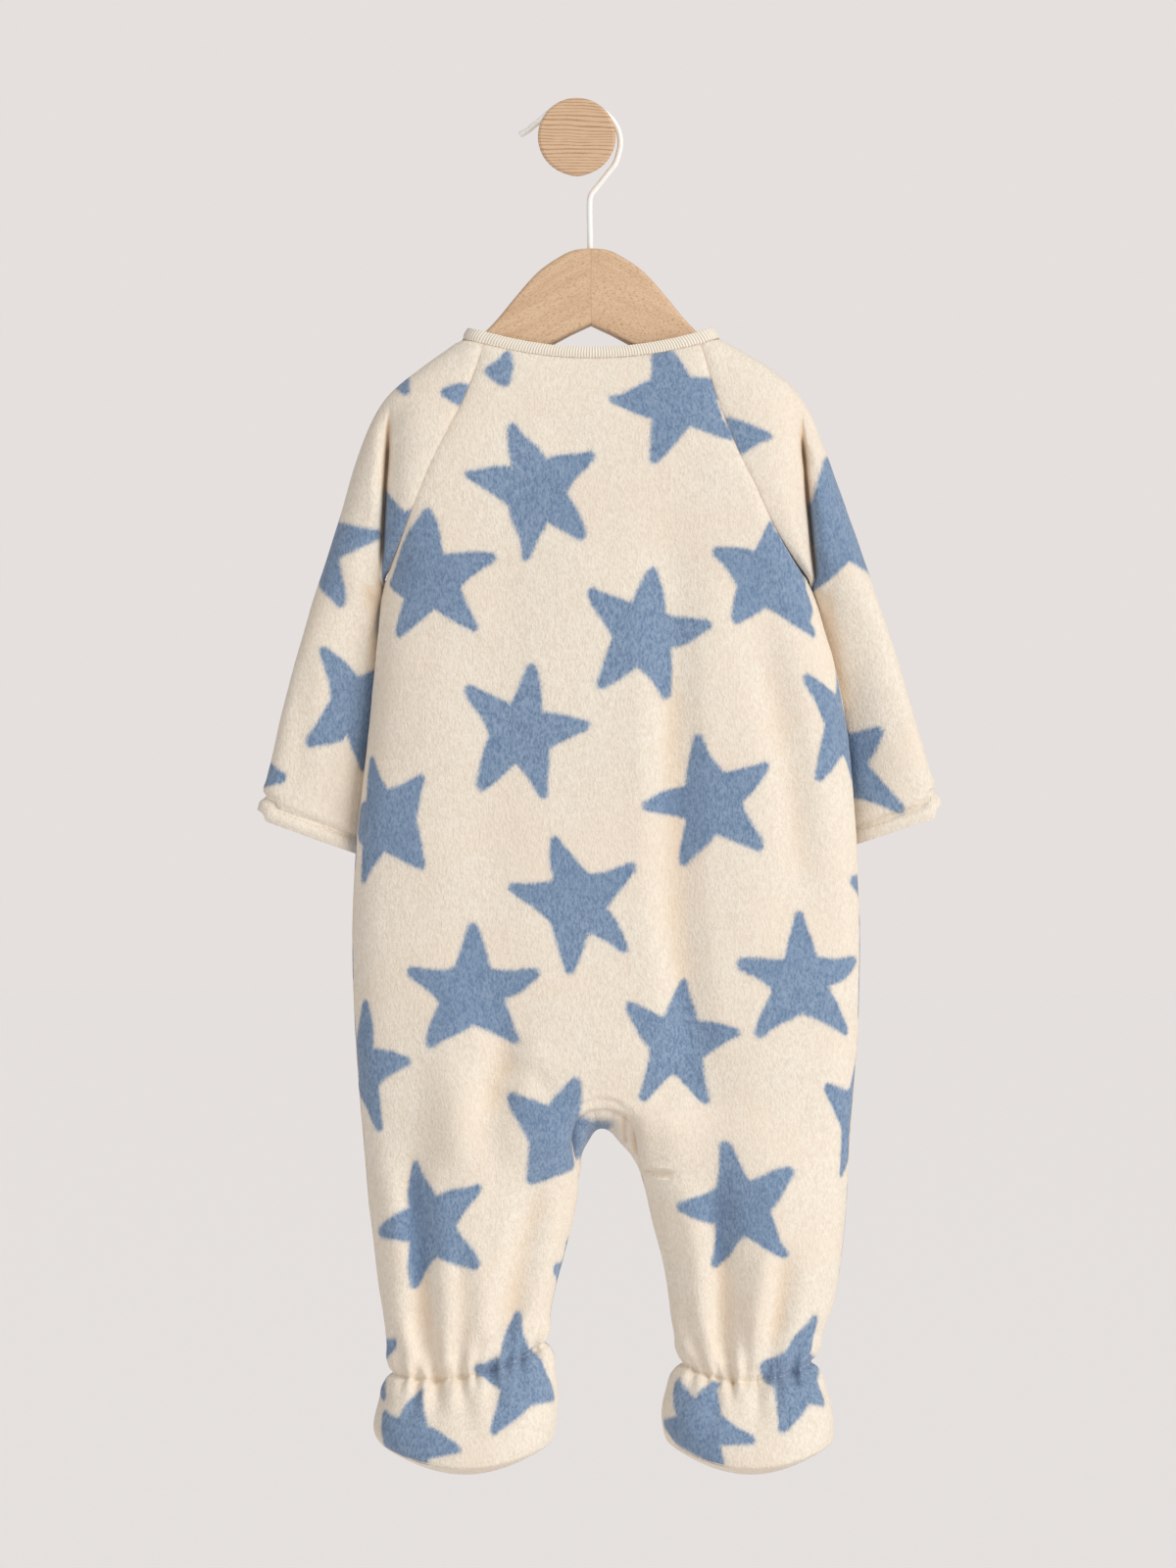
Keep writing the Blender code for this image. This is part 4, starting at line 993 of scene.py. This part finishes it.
def fleece_finish(name, wale_turn=0.0):
    made = Finish(name, Roughness=0.95, Sheen_Weight=0.3, Sheen_Roughness=0.55,
                  Specular_IOR_Level=0.12)
    made.set(Sheen_Tint=srgb(250, 244, 235))
    near = made.place(scale=(1.0, 1.0, 0.5), turn=(0, wale_turn, 0))
    wide = made.place()
    tufts = made.noise(near, 900, 2.0, 0.55, 0.3)
    fibre = made.noise(near, 2300, 2.0, 0.6)
    clump = made.noise(near, 330, 2.0, 0.5, 0.4)
    patch = made.noise(wide, 24, 2.0, 0.5, 0.4)
    star = made.attribute("star")
    seam = made.attribute("seam")
    fold = made.attribute("fold")
    fringe = star + (clump - 0.5) * 0.5 + (tufts - 0.5) * 1.1 + (fibre - 0.5) * 1.2
    blue = 1.0 - fringe.step(-1.3, 1.3)
    halo = 1.0 - fringe.step(0.2, 3.0)
    nap = tufts * 0.55 + fibre * 0.25 + clump * 0.2
    tone = nap.step(0.34, 0.64)
    cream = made.mix(tone, srgb(229, 217, 199), srgb(244, 236, 222))
    cream = made.mix(patch.step(0.35, 0.7) * 0.3, cream, srgb(240, 220, 199))
    cream = made.mix(halo * 0.22, cream, srgb(184, 190, 198))
    # Painted shade: the cream is painted darker and warmer where the fold attribute shows a crease
    # or contact with the trunk.
    cream = made.mix(fold.step(0.5, 3.6) * 0.42, cream, srgb(222, 190, 153))
    dye = made.mix(tone, srgb(101, 126, 158), srgb(146, 167, 192))
    dye = made.mix(patch.step(0.35, 0.7) * 0.25, dye, srgb(110, 136, 168))
    # Painted shade: the blue dye is painted darker in the creases too.
    dye = made.mix(fold.step(0.5, 3.6) * 0.4, dye, srgb(84, 106, 138))
    color = made.mix(blue, cream, dye)
    # Painted shade: the deepest creases, the slits and the sleeves' edges against the trunk are
    # painted dark brown on cream and dark blue on the dye.
    painted_deep_shade = made.mix(blue, srgb(128, 98, 70), srgb(52, 68, 96))
    color = made.mix(fold.step(3.4, 7.5) * 0.5, color, painted_deep_shade)
    # Painted shade: a thin tan line is painted along every sewn edge, where the seam's groove lies
    # in shade.
    painted_seam_shade = 1.0 - seam.step(0.0, 0.9)
    color = made.mix(painted_seam_shade * 0.25, color, srgb(190, 160, 128))
    made.set(Base_Color=color, Normal=made.bump(nap, 0.001, 0.8))
    return made


def rib_finish():
    made = Finish("rib_knit", Roughness=0.9, Sheen_Weight=0.2, Sheen_Roughness=0.5,
                  Specular_IOR_Level=0.2)
    around = made.attribute("around")
    fine = made.noise(made.place(), 1600)
    soft = made.noise(made.place(), 90)
    ribs = (around * (2 * math.pi / RIB_PITCH) + soft * 0.8).sine() * 0.5 + 0.5
    # Painted shade: the valleys between the ribs are painted darker, beside the ribs' bump.
    color = made.mix(ribs * 0.85 + fine * 0.15, srgb(220, 204, 177), srgb(255, 252, 244))
    made.set(Base_Color=color, Normal=made.bump(ribs + fine * 0.2, 0.0004, 0.7))
    return made


def beech_finish():
    """Two halves of steamed beech that meet at a mitre in the middle of the hanger."""
    made = Finish("beech", Roughness=0.5, Specular_IOR_Level=0.35)
    x, y, z = made.axes()
    out = abs(x - HANGER_X * MM)
    half = x.step(HANGER_X * MM - 1e-5, HANGER_X * MM + 1e-5)
    joined = made.node("ShaderNodeCombineXYZ", None, {0: out, 1: y, 2: z + half * 0.2})
    level = made.node("ShaderNodeMapping", None, {"Vector": joined, "Rotation": (0, -0.5, 0)})
    grain = made.node("ShaderNodeMapping", None, {"Vector": level, "Scale": (0.09, 1, 1)})
    flecks = made.node("ShaderNodeMapping", None, {"Vector": level, "Scale": (0.22, 1, 1)})
    bands = made.noise(grain, 260, 3.0, 0.55, 0.2)
    streak = made.noise(grain, 1400, 2.0, 0.55)
    fleck = made.noise(flecks, 2500)
    soft = made.noise(made.place(), 20)
    color = made.mix(bands.step(0.3, 0.7), srgb(211, 178, 143), srgb(224, 194, 162))
    color = made.mix(soft.step(0.3, 0.7) * 0.35, color, srgb(219, 184, 149))
    color = made.mix(streak.step(0.5, 0.72) * (0.4 - half * 0.25), color, srgb(189, 151, 114))
    color = made.mix(fleck.step(0.52, 0.64) * (0.7 + half * 0.1), color, srgb(178, 138, 103))
    joint = 1.0 - out.step(0.00006, 0.0003)
    color = made.mix(joint * 0.45, color, srgb(176, 138, 103))
    made.set(Base_Color=color, Roughness=0.46 + streak * 0.14,
             Normal=made.bump(streak * 0.5 + fleck * 0.3 - joint * 0.6, 0.00012, 0.5))
    return made


def peg_finish():
    """Pale oak with its growth rings level across the round face."""
    made = Finish("pale_oak", Roughness=0.55, Specular_IOR_Level=0.3)
    x, _, z = made.axes()
    wander = made.noise(made.place(scale=(0.35, 0.1, 1)), 75)
    strength = made.noise(made.place(scale=(0.2, 0.1, 1)), 210, 2.0, 0.6)
    height = z * 1000 + x * x * 700 * 0.6 + x * 22 + (wander - 0.5) * 4.2
    rings = (height * 3.5 + (height * 0.43).sine() * 2.2).sine() * 0.5 + 0.5
    fine = (height * 7.1 + (height * 0.9).sine() * 1.8).sine() * 0.5 + 0.5
    pores = made.noise(made.place(scale=(1, 0.12, 1.3)), 1300)
    rays = made.noise(made.place(scale=(0.3, 0.15, 1)), 420, 2.0, 0.6)
    line = rings ** 4 * (0.6 + strength.step(0.35, 0.65) * 0.4)
    color = made.mix(line + fine * 0.12, srgb(219, 187, 154), srgb(170, 128, 92))
    color = made.mix(pores.step(0.5, 0.72) * 0.35, color, srgb(178, 138, 104))
    color = made.mix(rays.step(0.45, 0.75) * 0.3, color, srgb(228, 200, 171))
    made.set(Base_Color=color, Roughness=0.5 + pores * 0.15,
             Normal=made.bump(pores - line, 0.00008, 0.5))
    return made


def plastic_finish(name, scale, dark, light, rough, spread, level, bump=None):
    """A smooth surface that is nearly of one colour."""
    made = Finish(name, Specular_IOR_Level=level)
    soft = made.noise(made.place(), scale)
    made.set(Base_Color=made.mix(soft, dark, light), Roughness=rough + soft * spread)
    if bump:
        made.set(Normal=made.bump(soft, *bump))
    return made


def thread_finish(name, light, dark):
    made = Finish(name, Roughness=0.7, Specular_IOR_Level=0.3)
    twist = made.noise(made.place(), 1500)
    made.set(Base_Color=made.mix(twist, dark, light), Normal=made.bump(twist, 0.0001, 0.5))
    return made


thread = thread_finish("thread", srgb(232, 220, 200), srgb(206, 190, 166))
neck_thread = thread_finish("neck_thread", srgb(240, 230, 212), srgb(208, 190, 164))
fleece = fleece_finish("plush_fleece")
sleeve_fleece = fleece_finish("plush_fleece_sleeve", wale_turn=0.3)
rib = rib_finish()
white_coating = plastic_finish("white_coating", scale=300, dark=srgb(246, 246, 241),
                               light=srgb(254, 254, 251), rough=0.36, spread=0.12, level=0.5)
popper_plastic = plastic_finish("popper_plastic", scale=700, dark=srgb(236, 234, 228),
                                light=srgb(246, 245, 241), rough=0.34, spread=0.14, level=0.45,
                                bump=(0.00004, 0.4))
beech = beech_finish()
pale_oak = peg_finish()

cloth = {}
for node in SPINES:
    if node == "neckband":
        cloth[node] = cloth_piece(node, rib, RIB_WALL)
    elif node.startswith("sleeve"):
        cloth[node] = cloth_piece(node, sleeve_fleece)
    else:
        cloth[node] = cloth_piece(node, fleece)

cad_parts["peg"].data.materials.clear()
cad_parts["peg"].data.materials.append(pale_oak.material)


def curve_through(points, steps):
    """A smooth line through the points, with that many steps between two of them."""
    padded = [points[0]] + list(points) + [points[-1]]
    made = []
    for p0, p1, p2, p3 in zip(padded, padded[1:], padded[2:], padded[3:]):
        for step in range(steps):
            u = step / steps
            made.append(tuple(
                0.5 * (2 * b + (c - a) * u + (2 * a - 5 * b + 4 * c - d) * u * u
                       + (3 * b - a - 3 * c + d) * u ** 3)
                for a, b, c, d in zip(p0, p1, p2, p3)))
    return made + [tuple(points[-1])]


WIRE_RADIUS = 1.5
WIRE_Y = -38.0
WIRE_TIP = ((-29.2, -3.3), (-25.4, -5.4), (-22.0, -8.2))
WIRE_ARC = (22.2, 19.82, 0.5)
WIRE_NECK = ((19.6, 11.2), (16.4, 15.6), (12.4, 20.7), (9.0, 24.9), (7.2, 27.6), (6.6, 30.6),
             (6.5, 36), (6.7, 46), (7.0, 60))


def make_hook():
    """The coated wire: tip, round top over the peg, slanting neck and upright stem."""
    wide, tall, low = WIRE_ARC
    arc = []
    for turn in range(142, -13, -11):
        angle = math.radians(turn)
        arc.append((wide * math.cos(angle), low - tall * math.sin(angle)))
    route = curve_through(list(WIRE_TIP) + arc + list(WIRE_NECK), 6)
    curve = bpy.data.curves.new("hook_wire", "CURVE")
    curve.dimensions = "3D"
    curve.bevel_depth = WIRE_RADIUS * MM
    curve.bevel_resolution = 4
    curve.use_fill_caps = True
    line = curve.splines.new("POLY")
    line.points.add(len(route) - 1)
    for number, (point, (x, drop)) in enumerate(zip(line.points, route)):
        point.co = (x * MM, WIRE_Y * MM, -drop * MM, 1.0)
        point.radius = 1.0 + 0.1 * math.exp(-((number - 2) / 2.5) ** 2) if number else 0.8
    drawn = bpy.data.objects.new("hook_line", curve)
    bpy.context.scene.collection.objects.link(drawn)
    graph = bpy.context.evaluated_depsgraph_get()
    body = bmesh.new()
    body.from_mesh(bpy.data.meshes.new_from_object(drawn.evaluated_get(graph)))
    bpy.data.objects.remove(drawn)
    bmesh.ops.remove_doubles(body, verts=body.verts[:], dist=1e-6)
    bmesh.ops.recalc_face_normals(body, faces=body.faces[:])
    piece = new_piece("hook_wire", body, white_coating)
    piece.data.set_sharp_from_angle(angle=math.radians(60))
    settle(piece, "white_wire", "hook")


make_hook()


# ---- hanger

HANGER_Y = -38.0
HANGER_THICK = 12.0
HANGER_TOP = ((0, 55), (8, 55.7), (15.5, 59), (27, 67), (38, 79.2), (47, 90.2), (54.5, 98),
              (64, 105.5), (76, 114.2), (89, 124.8), (98, 132.6), (102.5, 137.5))
HANGER_UNDER = ((103, 142), (99, 145.5), (92, 141.5), (80, 133.5), (65, 125.5), (50, 118),
                (35, 111), (20, 104), (10, 98.6))
HANGER_NOTCH = (0.0, 94.0)


def make_hanger():
    whole = [(-x, drop) for x, drop in HANGER_TOP[:0:-1]] + list(HANGER_TOP)
    upper = curve_through(whole, 6)
    under = curve_through((HANGER_TOP[-1],) + HANGER_UNDER[:4], 5)[1:] + list(HANGER_UNDER[4:])
    outline = upper + under + [HANGER_NOTCH] + [(-x, drop) for x, drop in reversed(under)]
    body = bmesh.new()
    corners = [body.verts.new(((x + HANGER_X) * MM, (HANGER_Y - HANGER_THICK / 2) * MM, -drop * MM))
               for x, drop in reversed(outline)]
    face = body.faces.new(corners)
    grown = bmesh.ops.extrude_face_region(body, geom=[face])
    moved = [item for item in grown["geom"] if isinstance(item, bmesh.types.BMVert)]
    bmesh.ops.translate(body, verts=moved, vec=(0, HANGER_THICK * MM, 0))
    bmesh.ops.recalc_face_normals(body, faces=body.faces[:])
    rims = [e for e in body.edges if abs(e.verts[0].co.y - e.verts[1].co.y) < 1e-6]
    bmesh.ops.bevel(body, geom=rims, offset=2.2 * MM, segments=4, profile=0.5,
                    affect="EDGES", material=-1)
    bmesh.ops.triangulate(body, faces=[f for f in body.faces if len(f.verts) > 4])
    piece = new_piece("hanger_wood", body, beech)
    piece.data.set_sharp_from_angle(angle=math.radians(38))
    settle(piece, "beech", "hanger")


make_hanger()


# ---- poppers

POPPERS = ["popper_%d" % number for number in range(1, 8)]


def make_poppers():
    """Seven fastened caps: a rounded ring round a small sunken disc."""
    body = bmesh.new()
    profile = ((0.0, 0.95), (1.5, 0.95), (1.9, 1.25), (2.5, 1.75), (3.2, 1.8), (3.9, 1.5),
               (4.45, 0.9), (4.6, 0.2), (4.3, -0.3), (3.0, -0.6), (0.0, -0.6))
    for popper in POPPERS:
        spots = np.array([v.co for v in merged_copy(popper).verts])
        middle = spots.mean(axis=0)
        _, _, axes = np.linalg.svd(spots - middle)
        out = Vector(axes[2])
        if out.y < 0:
            out = -out
        ring = [body.verts.new((radius * MM, 0, (lift - 0.3) * MM)) for radius, lift in profile]
        edges = [body.edges.new(pair) for pair in zip(ring, ring[1:])]
        bmesh.ops.spin(body, geom=ring + edges, axis=(0, 0, 1), cent=(0, 0, 0),
                       angle=2 * math.pi, steps=28, use_merge=True)
        made = [v for v in body.verts if not v.tag]
        turn = Vector((0, 0, 1)).rotation_difference(out).to_matrix().to_4x4()
        bmesh.ops.transform(body, matrix=Matrix.Translation(middle) @ turn, verts=made)
        for vertex in made:
            vertex.tag = True
    bmesh.ops.remove_doubles(body, verts=body.verts[:], dist=1e-6)
    bmesh.ops.recalc_face_normals(body, faces=body.faces[:])
    piece = new_piece("popper_caps", body, popper_plastic)
    piece.data.set_sharp_from_angle(angle=math.radians(50))
    settle(piece, "popper", *POPPERS)


make_poppers()


# ---- stitching

def solid_tree(*names):
    """The finished cloth pieces as one surface to lay stitches on."""
    graph = bpy.context.evaluated_depsgraph_get()
    body = bmesh.new()
    for name in names:
        mesh = bpy.data.meshes.new_from_object(cloth[name].evaluated_get(graph))
        body.from_mesh(mesh)
        bpy.data.meshes.remove(mesh)
    return BVHTree.FromBMesh(body)


def even_steps(points, gap):
    """Points at even gaps along a line of points in metres."""
    spots = np.array([tuple(point) for point in points])
    lengths = np.concatenate(([0], np.cumsum(np.linalg.norm(np.diff(spots, axis=0), axis=1))))
    count = max(2, int(lengths[-1] / gap))
    at = np.linspace(0, lengths[-1], count + 1)
    return np.stack([np.interp(at, lengths, spots[:, i]) for i in range(3)], axis=1)


def lay_stitches(body, tree, points, gap, length, thick, sink):
    """Small threads along a line, each seated on the cloth below it."""
    line = [Vector(p) for p in even_steps(points, gap * MM)]
    for a, b in zip(line, line[1:]):
        spot, normal, _, _ = tree.find_nearest((a + b) / 2)
        if spot is None:
            continue
        run = (b - a) - normal * (b - a).dot(normal)
        if run.length < 1e-7:
            continue
        run.normalize()
        side = normal.cross(run)
        turn = Matrix((run, side, normal)).transposed().to_4x4()
        size = Matrix.Diagonal((length / 2, thick / 2, thick / 2, 1))
        seat = Matrix.Translation(spot - normal * sink * MM) @ turn @ size
        bmesh.ops.create_icosphere(body, subdivisions=1, radius=MM, matrix=seat)


def boundary_line(name):
    """A sleeve's cuff, or the neckband's sewn edge, as points sorted round its middle."""
    body = outer_skin(name)
    ring = max(edge_rings(body), key=mean_drop)
    body.verts.index_update()
    corners = {v for edge in ring for v in edge.verts}
    spots = [v.co.copy() for v in sorted(corners, key=lambda v: v.index)]
    body.free()
    middle = sum(spots, Vector()) / len(spots)
    long_way, wide_way = np.linalg.svd(np.array([tuple(s - middle) for s in spots]))[2][:2]
    ring = sorted(spots, key=lambda s: math.atan2((s - middle).dot(Vector(wide_way)),
                                                  (s - middle).dot(Vector(long_way))))
    return ring + [ring[0]]


def make_stitches():
    body = bmesh.new()
    for name in ("sleeve_left", "sleeve_right"):
        tree = solid_tree(name)
        cuff = boundary_line(name)
        spine = SPINES[name][0]
        up = (place(*spine[1]) - place(*spine[2])).normalized() * (CUFF_LINE + 0.2) * MM
        lay_stitches(body, tree, [point + up for point in cuff],
                     gap=3.0, length=2.2, thick=0.5, sink=0.05)
    for side, names in (("left", ("back", "front_left", "foot_upper_left")),
                        ("right", ("back", "front_right", "foot_upper_right"))):
        tree = solid_tree(*names)
        (out_x, _), (in_x, _) = ANKLES[side]
        for depth in (-75, 0):
            line = []
            for step in range(61):
                u = 0.02 + 0.96 * step / 60
                start = place(out_x + (in_x - out_x) * u, depth, ankle_drop(side, u))
                way = Vector((0, 1 if depth < -30 else -1, 0))
                hit = tree.ray_cast(start, way)[0]
                if hit is not None:
                    line.append(hit)
            lay_stitches(body, tree, line, gap=2.6, length=1.7, thick=0.45, sink=0.12)
    settle(new_piece("stitches", body, thread), "fleece")
    body = bmesh.new()
    tree = solid_tree("neckband", "back", "front_left", "front_right", "sleeve_left",
                      "sleeve_right")
    lay_stitches(body, tree, boundary_line("neckband"), gap=1.9, length=1.5, thick=0.7, sink=0.0)
    settle(new_piece("neck_stitches", body, neck_thread), "rib")


make_stitches()


# ---- light and floor

floor = bmesh.new()
bmesh.ops.create_grid(floor, x_segments=2, y_segments=2, size=25)
bmesh.ops.translate(floor, verts=floor.verts[:], vec=(0, 0, -1.5))
pale = Finish("pale_floor", Roughness=0.9, Specular_IOR_Level=0.1)
pale.set(Base_Color=srgb(247, 244, 243), Emission_Color=srgb(247, 244, 242),
         Emission_Strength=0.165)
ground = new_piece("floor", floor, pale)

world = bpy.data.worlds.new("studio")
bpy.context.scene.world = world
world.use_nodes = True
air = world.node_tree
backdrop = air.nodes["Background"]
backdrop.inputs[0].default_value = srgb(229, 224, 222)
backdrop.inputs[1].default_value = 1.0
soft = air.nodes.new("ShaderNodeBackground")
soft.inputs[0].default_value = srgb(231, 228, 228)
soft.inputs[1].default_value = 0.44
seen = air.nodes.new("ShaderNodeLightPath")
choose = air.nodes.new("ShaderNodeMixShader")
air.links.new(seen.outputs["Is Camera Ray"], choose.inputs[0])
air.links.new(soft.outputs[0], choose.inputs[1])
air.links.new(backdrop.outputs[0], choose.inputs[2])
air.links.new(choose.outputs[0], air.nodes["World Output"].inputs[0])


def sunlight(name, towards, strength, spread, color):
    lamp = bpy.data.lights.new(name, "SUN")
    lamp.energy = strength
    lamp.angle = math.radians(spread)
    lamp.color = color
    light = bpy.data.objects.new(name, lamp)
    bpy.context.scene.collection.objects.link(light)
    light.rotation_euler = (-Vector(towards)).to_track_quat("-Z", "Y").to_euler()


sunlight("key", (0.80, -0.70, 0.55), 2.05, 34, (1.0, 0.985, 0.965))
sunlight("fill", (-0.6, -0.75, 0.25), 0.35, 70, (0.97, 0.985, 1.0))
bpy.context.scene.view_settings.view_transform = "Standard"
bpy.context.scene.view_settings.look = "None"
